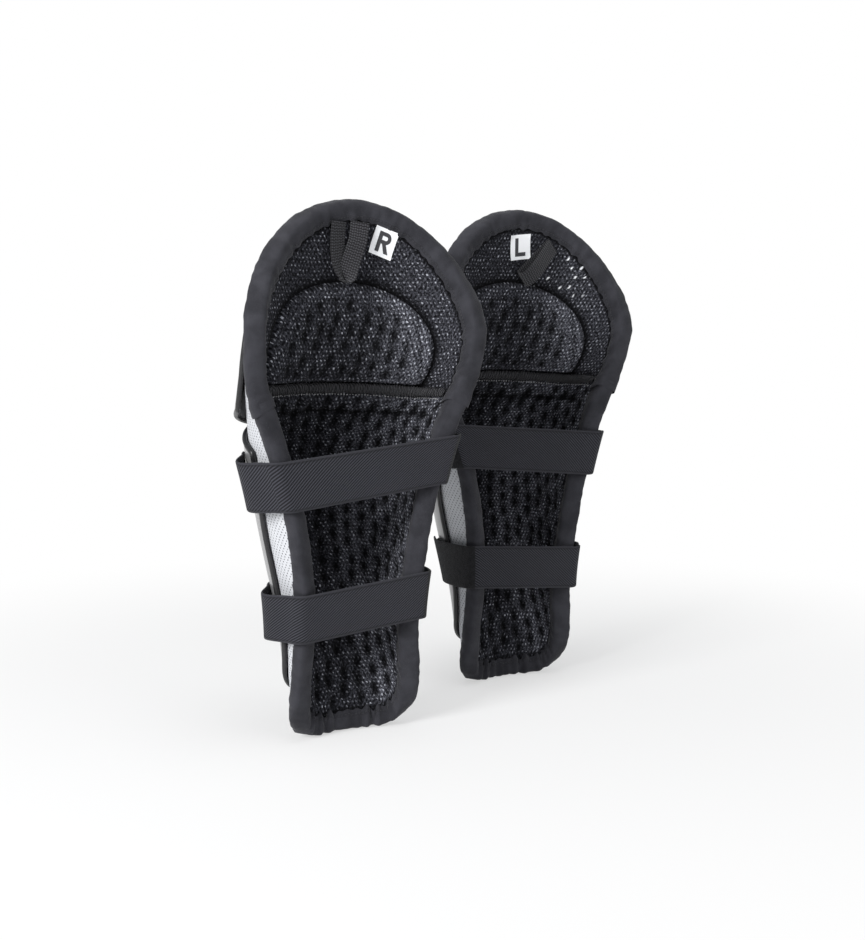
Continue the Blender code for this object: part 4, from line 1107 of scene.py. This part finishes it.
def add_lining(guard, rise, hollow):
    """Foam and mesh lining in one closed pad, from the hem to the crown."""
    girth, height = LINING_PATTERN[..., 0], LINING_PATTERN[..., 1]
    inner = on_form(girth, height, LINER_LIFT - rise[:, ::guard.side])
    outer = on_form(girth, height, PAD_BACK_LIFT)
    # Painted glints of light through the mesh, high on the left lining only
    painted_glints = bell(girth - PAINTED_GLINT_PLACE[0], PAINTED_GLINT_HALF_WIDTH)
    painted_glints = painted_glints * bell(height - PAINTED_GLINT_PLACE[1], PAINTED_GLINT_HALF_HEIGHT) * (guard.side < 0)
    # Painted light: lighter on one wall, less of it above the seam, and a lighter band under the seam
    painted_light_share = KNEE_PAINTED_LIGHT_SHARE + (1 - KNEE_PAINTED_LIGHT_SHARE) * smooth_step(BELOW_SEAM / KNEE_FADE)
    band = SEAM_BAND_PAINTED_LIGHT * bell(BELOW_SEAM - SEAM_BAND_MIDDLE, SEAM_BAND_HALF_WIDTH)
    nap = guard.nap(LINING_PATTERN) * painted_light_share[:, ::guard.side] + band[:, ::guard.side]
    nodes = ("shin_liner", "knee_liner", "shin_foam", "knee_foam")
    skins = slab(inner, outer, LINING_PATTERN + guard.texture_shift)
    # The lining carries its painted shade as an attribute for the mesh's colour
    lining = guard.add("lining", skins, MESH_FABRIC, nodes, "mesh_liner",
                       hollow=hollow[:, ::guard.side], fleck=painted_glints, nap=nap)
    guard.bend_at_knee(lining)


COVER_RIPPLE = 0.00012
COVER_RIPPLE_LENGTHS = (0.021, 0.034, 0.055)


def add_cover(guard):
    """White outer cover, stretched over the front of the foam."""
    pattern = LINING_PATTERN[::2, ::2]
    girth, height = pattern[..., 0], pattern[..., 1]
    ripple = COVER_RIPPLE * waves(height, guard.seed, COVER_RIPPLE_LENGTHS)
    skins = [skin(on_form(girth, height, ripple), pattern, flip=True)]
    cover = guard.add("cover", skins, COVER_FABRIC, ("shin_cover", "knee_cover"), "outer_cover")
    guard.bend_at_knee(cover)
    width = float(np.ptp(girth))


# Outline of the folded tape, from the tip of its inner flange round the edge to its outer flange and back
TAPE_FACE = np.array((
    (0.0126, -0.0112), (0.0121, -0.0121), (0.0104, -0.0127), (0.0080, -0.0131), (0.0052, -0.0135),
    (0.0022, -0.0135), (0.0000, -0.0130), (-0.0015, -0.0117), (-0.0023, -0.0092), (-0.0025, -0.0056),
    (-0.0023, -0.0020), (-0.0016, 0.0006), (-0.0002, 0.0020), (0.0020, 0.0025), (0.0046, 0.0024),
    (0.0068, 0.0019), (0.0082, 0.0012), (0.0086, 0.0004),
))
TAPE_BACK = np.array((
    (0.0060, 0.0008), (0.0012, 0.0008), (-0.0010, -0.0005), (-0.0013, -0.0055), (-0.0009, -0.0108),
    (0.0012, -0.0121), (0.0060, -0.0119),
))
TAPE_STITCH = 0.0036
TAPE_PROFILE = np.concatenate([TAPE_FACE, TAPE_BACK])
TAPE_OUTER_INSET = -0.0025
TAPE_MIDDLE_LIFT = -0.0055
TAPE_STEP = 0.0017

# Rumples of the tape, the folds of its inner flange and the gathers of the hem
RUMPLE_LENGTHS = (0.047, 0.031, 0.019)
RUMPLE_HEIGHT = 0.0007
CRINKLE_LENGTHS = (0.011, 0.0083)
CRINKLE_HEIGHT = 0.0003
RUMPLE_SHARE = 0.6
PUCKER_LENGTHS = (0.0125, 0.0094, 0.0158)
PUCKER_HEIGHT = 0.0002
FLANGE_PUCKER = 0.0015
FLANGE_DRAW = 0.0024
FLANGE_POINTS = 9.0
HEM_GATHER = 0.0009
HEM_GATHER_TOP = 0.016
HEM_GATHER_FADE = 0.012
SIDE_GATHERS = 0.5

# The knee tape's ends lap over the shin tape
LAP_LENGTH = 0.007
LAP_TUCK = 0.0015
LAP_TUCK_REACH = 0.016
LAP_TUCK_FADE = 0.010


def tape_roll(path, run, seed, gathers, tuck):
    """A folded tape along an edge: rumpled, gathered where asked, its ends lifted by the tuck."""
    ahead = np.roll(TAPE_PROFILE, -1, 0) - np.roll(TAPE_PROFILE, 1, 0)
    facing = unit_rows(np.column_stack([-ahead[:, 1], ahead[:, 0]]))
    normals = inward_normals(path, False)
    rumple = RUMPLE_HEIGHT * waves(run, seed, RUMPLE_LENGTHS)
    rumple = rumple + CRINKLE_HEIGHT * waves(run, seed + 1, CRINKLE_LENGTHS)
    pucker = waves(run, seed + 2, PUCKER_LENGTHS)
    at_hem = HEM_GATHER * np.clip(2 * gathers - 1, 0.0, 1.0)
    flange = np.clip(1.0 - np.arange(len(TAPE_PROFILE)) / FLANGE_POINTS, 0.0, 1.0) ** 1.5
    columns = []
    for k, (inset, lift) in enumerate(TAPE_PROFILE):
        fold = PUCKER_HEIGHT + FLANGE_PUCKER * flange[k] + at_hem
        swell = (k < len(TAPE_FACE)) * (RUMPLE_SHARE * rumple + gathers * fold * pucker)
        inset_here = inset + facing[k, 0] * swell + gathers * FLANGE_DRAW * pucker * flange[k]
        inset_here = np.maximum(inset_here, TAPE_OUTER_INSET)
        lift_here = lift + facing[k, 1] * swell + tuck * (1 if lift > TAPE_MIDDLE_LIFT else -1)
        spots = path + normals * inset_here[:, None]
        columns.append(on_form(spots[:, 0], spots[:, 1], lift_here))
    return tube(columns, run, run_along(np.concatenate([TAPE_PROFILE, TAPE_PROFILE[:1]])))


def add_bindings(guard):
    """Folded edge tape of the shin and of the knee; the knee's ends lap over the shin's."""
    half = np.array([shin_outline(d) for d in np.linspace(0.0, shin_outline_end(), 400)])
    path, run = resampled(np.concatenate([half[::-1] * (-1, 1), half[1:]]), TAPE_STEP)
    hem = smooth_step((HEM_GATHER_TOP - path[:, 1]) / HEM_GATHER_FADE)
    gathers = SIDE_GATHERS + (1 - SIDE_GATHERS) * hem
    skins = [tape_roll(path, run, guard.seed, gathers, 0.0)]
    tape = guard.add("shin_binding", skins, TAPE_FABRIC, ("shin_binding",), "binding_tape")
    guard.ride(tape, "shin")

    lobe = np.array([knee_outline(share) for share in np.linspace(1.0, 0.0, 260)])
    lap_heights = np.linspace(seam_height(1.0) - LAP_LENGTH, seam_height(1.0), 8)[:-1]
    lap = np.array([(float(rim_girth(height)), height) for height in lap_heights])
    side = np.concatenate([lap, lobe])
    path, run = resampled(np.concatenate([side, side[-2::-1] * (-1, 1)]), TAPE_STEP)
    from_end = np.minimum(run, run[-1] - run)
    tuck = LAP_TUCK * smooth_step((LAP_TUCK_REACH - from_end) / LAP_TUCK_FADE)
    skins = [tape_roll(path, run, guard.seed + 5, SIDE_GATHERS * np.ones_like(run), tuck)]
    tape = guard.add("knee_binding", skins, TAPE_FABRIC, ("knee_binding",), "binding_tape")
    guard.ride(tape, "knee")


# Outline of the shells' trim, and the shallow forms on the shells
TRIM_PROFILE = (
    (0.0004, 0.0026), (0.0001, 0.0032), (-0.0007, 0.0034), (-0.0018, 0.0032), (-0.0027, 0.0025),
    (-0.0031, 0.0014), (-0.0029, 0.0003), (-0.0020, -0.0002), (-0.0004, 0.0000), (0.0000, 0.0012),
)
TRIM_GIRTH = 0.011
FLUTE_DEPTH = 0.00054
FLUTE_GIRTH = 0.043
FLUTE_HALF_WIDTH = 0.0048
FLUTE_FOOT = 0.062
FLUTE_FOOT_FADE = 0.02
FLUTE_HEAD = 0.212
FLUTE_HEAD_FADE = 0.03
OVAL_HEIGHT = 0.318
OVAL_HALF_WIDTH = 0.066
OVAL_HALF_HEIGHT = 0.038
OVAL_LIFT = 0.0012
OVAL_FADE = 0.16


def add_shell(guard, piece, pattern, lift, body):
    """A moulded shell and the rounded black trim round its edge."""
    girth, height = pattern[..., 0], pattern[..., 1]
    inner = on_form(girth, height, lift)
    outer = on_form(girth, height, lift + SHELL_THICKNESS)
    shell = guard.add(piece, slab(inner, outer, pattern), SHELL_PLASTIC, (piece,), "shell_plastic", 40.0)
    guard.ride(shell, body)
    path = border(pattern)
    edge_lift = border(lift[..., None])[:, 0]
    normals = inward_normals(path, True)
    columns = []
    for inset, stand in TRIM_PROFILE:
        spots = path + normals * inset
        ring = on_form(spots[:, 0], spots[:, 1], edge_lift + stand)
        columns.append(np.concatenate([ring, ring[:1]]))
    run = run_along(np.concatenate([path, path[:1]]))
    skins = [tube(columns, run, np.linspace(0.0, TRIM_GIRTH, len(columns) + 1))]
    trim = guard.add(f"{piece}_trim", skins, TRIM_RUBBER, (f"{piece}_trim",), "shell_trim")
    guard.ride(trim, body)


def shin_shell_lift(pattern):
    """Keel down the middle, a shallow flute on each side."""
    girth, height = pattern[..., 0], pattern[..., 1]
    fade = smooth_step((SHIN_SHELL_HEAD - height) / SHELL_KEEL_FADE)
    keel = SHELL_KEEL_HEIGHT * fade * bell(girth, SHELL_KEEL_WIDTH)
    length = smooth_step((height - FLUTE_FOOT) / FLUTE_FOOT_FADE)
    length = length * smooth_step((FLUTE_HEAD - height) / FLUTE_HEAD_FADE)
    return SHELL_LIFT + keel - FLUTE_DEPTH * length * bell(np.abs(girth) - FLUTE_GIRTH, FLUTE_HALF_WIDTH)


def knee_cap_lift(pattern):
    """The foot flares into a lip, and an oval panel stands up in the middle."""
    girth, height = pattern[..., 0], pattern[..., 1]
    flare = KNEE_CAP_LIP_TOP - KNEE_CAP_FOOT - KNEE_CAP_LIP_FLAT
    lip = KNEE_CAP_LIP_LIFT * smooth_step((KNEE_CAP_LIP_TOP - height) / flare)
    oval = np.sqrt((girth / OVAL_HALF_WIDTH) ** 2 + ((height - OVAL_HEIGHT) / OVAL_HALF_HEIGHT) ** 2)
    return SHELL_LIFT + lip + OVAL_LIFT * smooth_step((1.0 - oval) / OVAL_FADE)


def add_knee_pad(guard, rise, hollow):
    """Raised D-shaped pad inside the knee."""
    pattern = PAD_PATTERN[:, ::guard.side] * (guard.side, 1)
    girth, height = pattern[..., 0], pattern[..., 1]
    front = on_form(girth, height, LINER_LIFT - rise[:, ::guard.side])
    back = on_form(girth, height, LINER_LIFT + PAD_SINK)
    skins = slab(front, back, pattern + guard.texture_shift)
    # The pad carries its painted shade as an attribute for the mesh's colour
    pad = guard.add("knee_pad", skins, MESH_FABRIC, ("knee_pad",), "mesh_liner", 80.0,
                    # Painted light on the pad: a little everywhere, more on the wall whose inside faces
                    # the key lamp
                    hollow=hollow[:, ::guard.side], nap=PAD_PAINTED_LIGHT + guard.nap(pattern))
    guard.ride(pad, "knee")


# Ribbed roll of the seam and the stitches under it
WELT_END_GAP = 0.0135
WELT_END_ROUND = 0.006
WELT_DROP_SHARE = 0.6
WELT_HEIGHT_SHARE = 1.5
WELT_STAND = 0.0019
WELT_GIRTH = 0.016
WELT_SIDES = 14
WELT_RIB_PITCH = 0.0024
WELT_RIB_SHARE = 0.15
WELT_BEAT = 0.0009
WELT_BEAT_LENGTHS = (0.021, 0.013)
WELT_SWELL_SHARE = 0.10
WELT_SWELL_LENGTHS = (0.033, 0.018)
STITCH_PITCH = 0.0027
STITCH_HALF_LENGTH = 0.0008
STITCH_RADIUS = 0.00068
STITCH_SIZES = (0.45, 1.15)
STITCH_DROP_SHARE = 2.75
STITCH_STRAY = 0.0005
STITCH_STAND = 0.0006
STITCH_GIRTH = 0.003
STITCH_SIDES = 6


def turns_of(sides):
    """Angles of the sides of a roll."""
    return np.linspace(0.0, 2 * np.pi, sides + 1)[:-1]


def add_welt(guard):
    """Ribbed roll along the flex seam, and the pale stitches under it."""
    rim = float(rim_girth(seam_height(1.0)))
    reach = rim - WELT_END_GAP
    girth = np.linspace(-reach, reach, 560)
    height = guard.seam(girth / rim) - WELT_DROP_SHARE * WELT_RADIUS
    run = girth + reach
    ends = np.clip(np.minimum(run, run[-1] - run) / WELT_END_ROUND, 0.25, 1.0) ** 0.5
    beat = run + WELT_BEAT * waves(run, guard.seed, WELT_BEAT_LENGTHS)
    rib = 1 + WELT_RIB_SHARE * np.sin(2 * np.pi * beat / WELT_RIB_PITCH)
    swell = ends * rib * (1 + WELT_SWELL_SHARE * waves(run, guard.seed + 3, WELT_SWELL_LENGTHS))
    columns = []
    for turn in turns_of(WELT_SIDES):
        up = WELT_HEIGHT_SHARE * WELT_RADIUS * swell * math.sin(turn)
        out = WELT_RADIUS * swell * math.cos(turn)
        columns.append(on_form(girth, height + up, LINER_LIFT - WELT_STAND - out))
    skins = [tube(columns, run, np.linspace(0.0, WELT_GIRTH, WELT_SIDES + 1))]
    roll = guard.add("flex_seam_welt", skins, WELT_THREAD, ("flex_seam_welt",), "binding_tape", 180.0)
    guard.bend_at_knee(roll)

    stitches = []
    chance = np.random.default_rng(guard.seed)
    along = np.linspace(-1.0, 1.0, 5)
    for middle in np.arange(-reach + WELT_END_ROUND, reach - WELT_END_ROUND, STITCH_PITCH):
        size = STITCH_RADIUS * np.sqrt(1.05 - along**2) * chance.uniform(*STITCH_SIZES)
        spot = middle + STITCH_HALF_LENGTH * along
        low = guard.seam(spot / rim) - STITCH_DROP_SHARE * WELT_RADIUS - STITCH_STRAY * chance.uniform()
        columns = []
        for turn in turns_of(STITCH_SIDES):
            stand = STITCH_STAND + size * math.cos(turn)
            columns.append(on_form(spot, low + size * math.sin(turn), LINER_LIFT - stand))
        stitches.append(tube(columns, spot, np.linspace(0.0, STITCH_GIRTH, STITCH_SIDES + 1)))
    thread = guard.add("seam_stitches", stitches, PALE_THREAD, (), "binding_tape", 180.0)
    guard.bend_at_knee(thread)


# Seats of the loops and the label on the lining; a loop's webbing is thinner at its edges
SEAT_GAP = 0.0003
FOLDED_LOOP_SEAT_GAP = 0.0006
STANDING_LOOP_OVERLAP = 0.0026
LOOP_THIN_EDGE = 0.0064
LABEL_CURL = 0.0009
LABEL_CURL_START = 0.0145
LABEL_CURL_FADE = 0.006
LETTER_HEIGHT = 0.0150
LETTER_SEAT_GAP = 0.00045


def band_uv(grid, across):
    """Texture places along and across a band."""
    return uv_grid(across, run_along(grid[len(across) // 2]))[..., ::-1]


def standing_loop_rows(stations, across):
    """Middle rows of a loop whose legs stand side by side, with its thickness direction."""
    turn = np.pi * np.linspace(0.0, 1.0, stations)
    hang = np.sin(turn)
    spread = STANDING_LOOP_SPREAD / 2 * np.cos(turn) * (1 - STANDING_LOOP_PINCH * hang**2)
    girth = STANDING_LOOP_SIDE - spread - STANDING_LOOP_SWAY * hang
    height = STANDING_LOOP_ROOT - STANDING_LOOP_LENGTH * hang
    lean = np.radians(STANDING_LOOP_ROOT_LEAN + (90.0 - STANDING_LOOP_ROOT_LEAN) * hang**7)
    over = smooth_step((turn - np.pi / 2 - 0.1) / 0.5) * smooth_step((np.pi - turn) / 0.4)
    seat = LINER_LIFT - LOOP_WEBBING_THICKNESS - SEAT_GAP
    lift = seat - STANDING_LOOP_OVERLAP * over - LOOP_WEBBING_WIDTH / 2 * np.sin(lean)
    centre = on_form(girth, height, lift)
    to_leg = unit_rows(centre - on_form(girth, height, lift + STEP))
    along = np.gradient(centre, axis=0)
    along = unit_rows(along - to_leg * np.sum(along * to_leg, axis=1, keepdims=True))
    width = np.cross(along, to_leg) * np.cos(lean)[:, None] + to_leg * np.sin(lean)[:, None]
    rows = centre[None] + width[None] * across[:, None, None]
    return rows, np.broadcast_to(np.cross(width, along)[None], rows.shape)


def folded_loop_rows(stations, across):
    """Middle rows of a loop that lies over to the side, with its thickness direction."""
    share = np.linspace(0.0, 1.0, stations)
    slant = math.radians(FOLDED_LOOP_SLANT)
    hang = FOLDED_LOOP_LENGTH * np.sin(np.pi * share)
    over = np.clip((share - FOLDED_LOOP_FLAT_SHARE) / (1 - FOLDED_LOOP_FLAT_SHARE), 0.0, 1.0)
    arch = FOLDED_LOOP_BULGE * np.sin(np.pi * over) + FOLDED_LOOP_ROOT_GAP * smooth_step(over)
    seat = LINER_LIFT - LABEL_THICKNESS - FOLDED_LOOP_SEAT_GAP - LOOP_WEBBING_THICKNESS / 2
    side = across[:, None]
    girth = FOLDED_LOOP_SIDE + hang * math.sin(slant) + side * math.cos(slant)
    height = FOLDED_LOOP_ROOT - hang * math.cos(slant) + side * math.sin(slant)
    rows = on_form(girth, height, seat - arch)
    along = np.gradient(rows, axis=1)
    return rows, unit_rows(np.cross(np.broadcast_to(rows[-1:] - rows[:1], rows.shape), along))


def add_pull_loop(guard):
    """Pull loop of ribbed webbing."""
    across = np.linspace(-0.5, 0.5, 9) * LOOP_WEBBING_WIDTH
    rows, thick = (standing_loop_rows if guard.side > 0 else folded_loop_rows)(97, across)
    half = np.where(np.abs(across) > LOOP_THIN_EDGE, 0.36, 0.5)[:, None, None] * LOOP_WEBBING_THICKNESS
    skins = slab(rows - thick * half, rows + thick * half, band_uv(rows, across))
    loop = guard.add("pull_loop", skins, WEBBING_FABRIC, ("pull_loop",), "binding_tape")
    guard.ride(loop, "loop")


def add_label(guard):
    """Side label with a plain block letter for the leg that it belongs to."""
    side, middle, degrees = LABEL_PLACES[guard.name]
    turn = math.radians(degrees)

    def place(right, up, lift):
        girth = side + right * math.cos(turn) - up * math.sin(turn)
        height = middle + right * math.sin(turn) + up * math.cos(turn)
        return on_form(girth, height, lift)

    steps = np.linspace(-0.5, 0.5, 15) * LABEL_SIZE
    right, up = np.meshgrid(steps, steps)
    curl = LABEL_CURL * smooth_step((np.abs(right) + np.abs(up) - LABEL_CURL_START) / LABEL_CURL_FADE)
    face = LINER_LIFT - SEAT_GAP - LABEL_THICKNESS - curl
    back = place(right, up, face + LABEL_THICKNESS)
    skins = slab(place(right, up, face), back, np.stack([right, up], -1))
    label = guard.add("side_label", skins, LABEL_CLOTH, ("side_label",), "label_fabric")
    guard.ride(label, "knee")

    bend = np.linspace(np.pi / 2, -np.pi / 2, 17)
    bowl_out = np.column_stack([0.46 + 0.30 * np.cos(bend), 0.71 + 0.29 * np.sin(bend)])
    bowl_in = np.column_stack([0.46 + 0.10 * np.cos(bend), 0.71 + 0.10 * np.sin(bend)])
    stem = [((0.0, 0.0), (0.0, 1.0)), ((0.23, 0.0), (0.23, 1.0))]
    strokes = {
        "right": [stem, [((0.23, 1.0), *bowl_out, (0.23, 0.42)), ((0.23, 0.81), *bowl_in, (0.23, 0.61))],
                  [((0.30, 0.44), (0.55, 0.0)), ((0.54, 0.44), (0.81, 0.0))]],
        "left": [stem, [((0.23, 0.21), (0.72, 0.21)), ((0.23, 0.0), (0.72, 0.0))]],
    }
    skins = []
    for stroke in strokes[guard.name]:
        outline = (np.array([list(map(tuple, edge)) for edge in stroke]) - (0.38, 0.5)) * LETTER_HEIGHT
        across = outline[..., 0] * guard.side
        points = place(across, outline[..., 1], LINER_LIFT - LETTER_SEAT_GAP - LABEL_THICKNESS)
        skins.append(skin(points, outline, flip=guard.side > 0))
    letter = guard.add("side_letter", skins, LETTER_INK, (), "label_fabric")
    guard.ride(letter, "knee")


def strap_side(height, reach, stand, stations):
    """One face of a strap at one height on the inner side of the right leg: run, held run and bend."""
    rim = float(rim_girth(height))
    start = rim - STRAP_BEND_START
    share = np.linspace(0.0, 1.0, stations)
    girth = -(rim - reach + share * (start - rim + reach))
    level = np.full_like(girth, height)
    seat = SHELL_FACE_LIFT + STRAP_SEAT_GAP
    free = np.clip((share - STRAP_SEWN_SHARE) / (1 - STRAP_SEWN_SHARE), 0.0, 1.0)
    lift = seat + (STRAP_RIM_LIFT - seat) * smooth_step(free) + STRAP_BULGE * np.sin(np.pi * free) ** 2
    bulging = on_form(girth, level, lift + stand)
    held = on_form(girth, level, STRAP_RIM_LIFT + stand)
    before, after = on_form((-start + STEP, -start - STEP), height, STRAP_RIM_LIFT)
    place, raised = on_form(-start, height, (STRAP_RIM_LIFT, STRAP_RIM_LIFT + STEP))
    flat = np.array((1.0, 1.0, 0.0))
    back = unit_rows((after - before) * flat)
    out = unit_rows((raised - place) * flat)
    centre = place - out * STRAP_BEND_RADIUS
    rear = np.array((0.0, -1.0, 0.0))
    last = math.atan2(rear @ back, rear @ out)
    turns = np.linspace(0.0, last, 16)[1:, None]
    bend = centre + (STRAP_BEND_RADIUS + stand) * (np.cos(turns) * out + np.sin(turns) * back)
    return bulging, held, bend


def strap_grids(inner_height, outer_height, reach, stand, across):
    """One face of the right guard's strap: the elastic with its sewn end, and the hook tab."""
    elastic, tab = [], []
    flip = np.array((-1.0, 1.0, 1.0))
    span = np.linspace(0.0, 1.0, 60)[1:-1, None]
    for offset, rise in zip(across, stand):
        bulging, _, inner_bend = strap_side(inner_height + offset, reach, rise, 28)
        _, held, outer_bend = strap_side(outer_height + offset, reach, rise, 28)
        outer_bend = outer_bend * flip
        held = held * flip
        crossing = inner_bend[-1] + span * (outer_bend[-1] - inner_bend[-1])
        elastic.append(np.concatenate([bulging, inner_bend, crossing, outer_bend[-1:8:-1]]))
        tab.append(np.concatenate([outer_bend[9::-1], held[::-1]]))
    return np.array(elastic), np.array(tab)


# Lines along a strap, and how far its faces are drawn in at each to round its edges
STRAP_SHARES = np.concatenate([[-0.5, -0.487], np.linspace(-0.455, 0.455, 13), [0.487, 0.5]])
STRAP_DRAWN_IN = np.array([0.3, 0.08, *np.zeros(13), 0.08, 0.3])


def add_strap(guard, strap, inner_height, outer_height, reach):
    """Elastic strap bent round the inner rim, with a fuzzy hook tab at the outer rim."""
    across = STRAP_SHARES * STRAP_WIDTH
    near = strap_grids(inner_height, outer_height, reach, STRAP_DRAWN_IN * STRAP_THICKNESS, across)
    far = strap_grids(inner_height, outer_height, reach, (1 - STRAP_DRAWN_IN) * STRAP_THICKNESS, across)
    band, end = (slab(low, high, band_uv(low, across)) for low, high in zip(near, far))
    nodes = (f"{strap}_strap_anchor", f"{strap}_strap_band")
    elastic = guard.add(f"{strap}_strap", band, ELASTIC_FABRIC, nodes, "strap_elastic", 70.0)
    swing = joint_named(f"{guard.name}_{strap}_strap_swing")["pos_m"]
    guard.bend_at(elastic, "shin", f"{strap}_strap", swing, (0.8, -0.6, 0.0), 0.010)
    tab = guard.add(f"{strap}_tab", end, HOOK_FABRIC, (f"{strap}_strap_tab",), "hook_tape", 70.0)
    peel = joint_named(f"{guard.name}_{strap}_tab_peel")["pos_m"]
    guard.bend_at(tab, f"{strap}_strap", f"{strap}_tab", peel, (0.2, 0.98, 0.0), 0.008)

    far_end = float(rim_girth(outer_height)) - reach + (STRAP_WIDTH - HOOK_PATCH_WIDTH) / 2
    girth, height = np.meshgrid(np.linspace(far_end, far_end + HOOK_PATCH_LENGTH, 15),
                                outer_height + np.linspace(-0.5, 0.5, 21) * HOOK_PATCH_WIDTH)
    inner = on_form(girth, height, HOOK_PATCH_LIFT)
    outer = on_form(girth, height, HOOK_PATCH_LIFT + HOOK_PATCH_THICKNESS)
    skins = slab(inner, outer, np.stack([girth, height], -1))
    patch = guard.add(f"{strap}_hook_patch", skins, HOOK_FABRIC, (f"{strap}_hook_patch",), "hook_tape")
    guard.ride(patch, "shin")


FLOOR_RADIUS = 6.0
FLOOR_LEVEL = -0.0004
FLOOR_COLOUR = (0.90, 0.90, 0.90, 1.0)
SKY_COLOUR = (0.94, 0.97, 1.0, 1.0)
WHITE = (1.0, 1.0, 1.0, 1.0)
WORLD_LIGHT = 0.30


def seen_rays(tree, kind):
    """1 for rays from the camera and for rays of one more kind."""
    rays = tree.nodes.new("ShaderNodeLightPath")
    seen = tree.nodes.new("ShaderNodeMath")
    seen.operation = "MAXIMUM"
    tree.links.new(rays.outputs["Is Camera Ray"], seen.inputs[0])
    tree.links.new(rays.outputs[kind], seen.inputs[1])
    return seen.outputs[0]


def show_mix(tree, share, first, second, output):
    """Send a mix of two shaders to an output."""
    blend = tree.nodes.new("ShaderNodeMixShader")
    for socket, source in zip(blend.inputs, (share, first.outputs[0], second.outputs[0])):
        tree.links.new(source, socket)
    tree.links.new(blend.outputs[0], tree.nodes[output].inputs["Surface"])


def add_stage():
    """Pale floor that fades into a white backdrop, and a white world that the camera sees."""
    bpy.ops.mesh.primitive_circle_add(
        vertices=96, radius=FLOOR_RADIUS, fill_type="NGON", location=(0.0, 0.0, FLOOR_LEVEL))
    floor = bpy.context.object
    floor.name = "floor"
    s = Surface("pale_floor", 0.8, Base_Color=FLOOR_COLOUR)
    places = s.tree.nodes.new("ShaderNodeTexCoord")
    reach = s.tree.nodes.new("ShaderNodeVectorMath")
    reach.operation = "LENGTH"
    s.feed(reach.inputs[0], places.outputs["Object"])
    fade = s.ramp(reach.outputs["Value"], 0.15, 0.75, 0.55, 1.0)
    share = s.math("MULTIPLY", fade, seen_rays(s.tree, "Is Glossy Ray"))
    show_mix(s.tree, share, s.shader, s.tree.nodes.new("ShaderNodeEmission"), "Material Output")
    floor.data.materials.append(s.material)

    scene.world = bpy.data.worlds.new("studio")
    scene.world.use_nodes = True
    tree = scene.world.node_tree
    soft = tree.nodes["Background"]
    soft.inputs["Color"].default_value = SKY_COLOUR
    soft.inputs["Strength"].default_value = WORLD_LIGHT
    white = tree.nodes.new("ShaderNodeBackground")
    white.inputs["Color"].default_value = WHITE
    show_mix(tree, seen_rays(tree, "Is Transmission Ray"), soft, white, "World Output")


LIGHTS = (
    ("key", (-2.00, -0.85, 1.05), 0.8, 52.0),
    ("fill", (0.60, -1.80, 0.90), 1.2, 6.0),
    ("top", (0.00, -0.35, 1.80), 1.0, 9.0),
)


def add_lights():
    """Soft lamps aimed at the middle of the pair."""
    for name, place, size, power in LIGHTS:
        lamp = bpy.data.lights.new(name, "AREA")
        lamp.size = size
        lamp.energy = power
        thing = bpy.data.objects.new(name, lamp)
        scene.collection.objects.link(thing)
        thing.location = place
        aim = np.array((0.0, 0.0, 0.20)) - np.array(place)
        across = math.hypot(aim[0], aim[1])
        thing.rotation_euler = (math.atan2(across, -aim[2]), 0.0, math.atan2(-aim[0], aim[1]))


def add_camera(right_foot):
    """The camera at the photograph's place."""
    data = bpy.data.cameras.new("camera")
    data.lens = CAMERA_LENS
    camera = bpy.data.objects.new("camera", data)
    scene.collection.objects.link(camera)
    camera.location = right_foot + CAMERA_FROM_RIGHT_FOOT
    camera.rotation_euler = (math.radians(CAMERA_PITCH), 0.0, math.radians(CAMERA_YAW))
    scene.camera = camera


MESH_FABRIC = mesh_fabric("mesh_fabric")
COVER_FABRIC = cover_fabric("cover_fabric")
TAPE_FABRIC = tape_fabric("tape_fabric", TAPE_STITCH)
ELASTIC_FABRIC = elastic_fabric("elastic_fabric")
WEBBING_FABRIC = webbing_fabric("webbing_fabric")
HOOK_FABRIC = hook_fabric("hook_fabric")
WELT_THREAD = welt_thread("welt_thread")
SHELL_PLASTIC = shell_plastic("shell_plastic")
TRIM_RUBBER = trim_rubber("trim_rubber")
LABEL_CLOTH = label_cloth("label_cloth", (0.92, 0.93, 0.95), (0.96, 0.97, 0.99))
LETTER_INK = label_cloth("letter_ink", (0.030, 0.030, 0.034), (0.050, 0.050, 0.056))
PALE_THREAD = pale_thread("pale_thread")

pad_relief, pad_painted_shade = pad_rise(PAD_PATTERN)
lining_relief, lining_painted_shade = lining_rise()
shin_shell = shin_shell_pattern(84, 96)
knee_cap = knee_cap_pattern(84, 60)
guards = (Guard("right", 1), Guard("left", -1))
for guard in guards:
    add_lining(guard, lining_relief, lining_painted_shade)
    add_cover(guard)
    add_bindings(guard)
    add_shell(guard, "shin_shell", shin_shell, shin_shell_lift(shin_shell), "shin")
    add_shell(guard, "knee_cap", knee_cap, knee_cap_lift(knee_cap), "knee")
    add_knee_pad(guard, pad_relief, pad_painted_shade)
    add_welt(guard)
    add_pull_loop(guard)
    add_label(guard)
    for values in STRAPS:
        add_strap(guard, *values)

add_camera(guards[0].foot)
add_stage()
add_lights()
scene.view_settings.view_transform = "Standard"
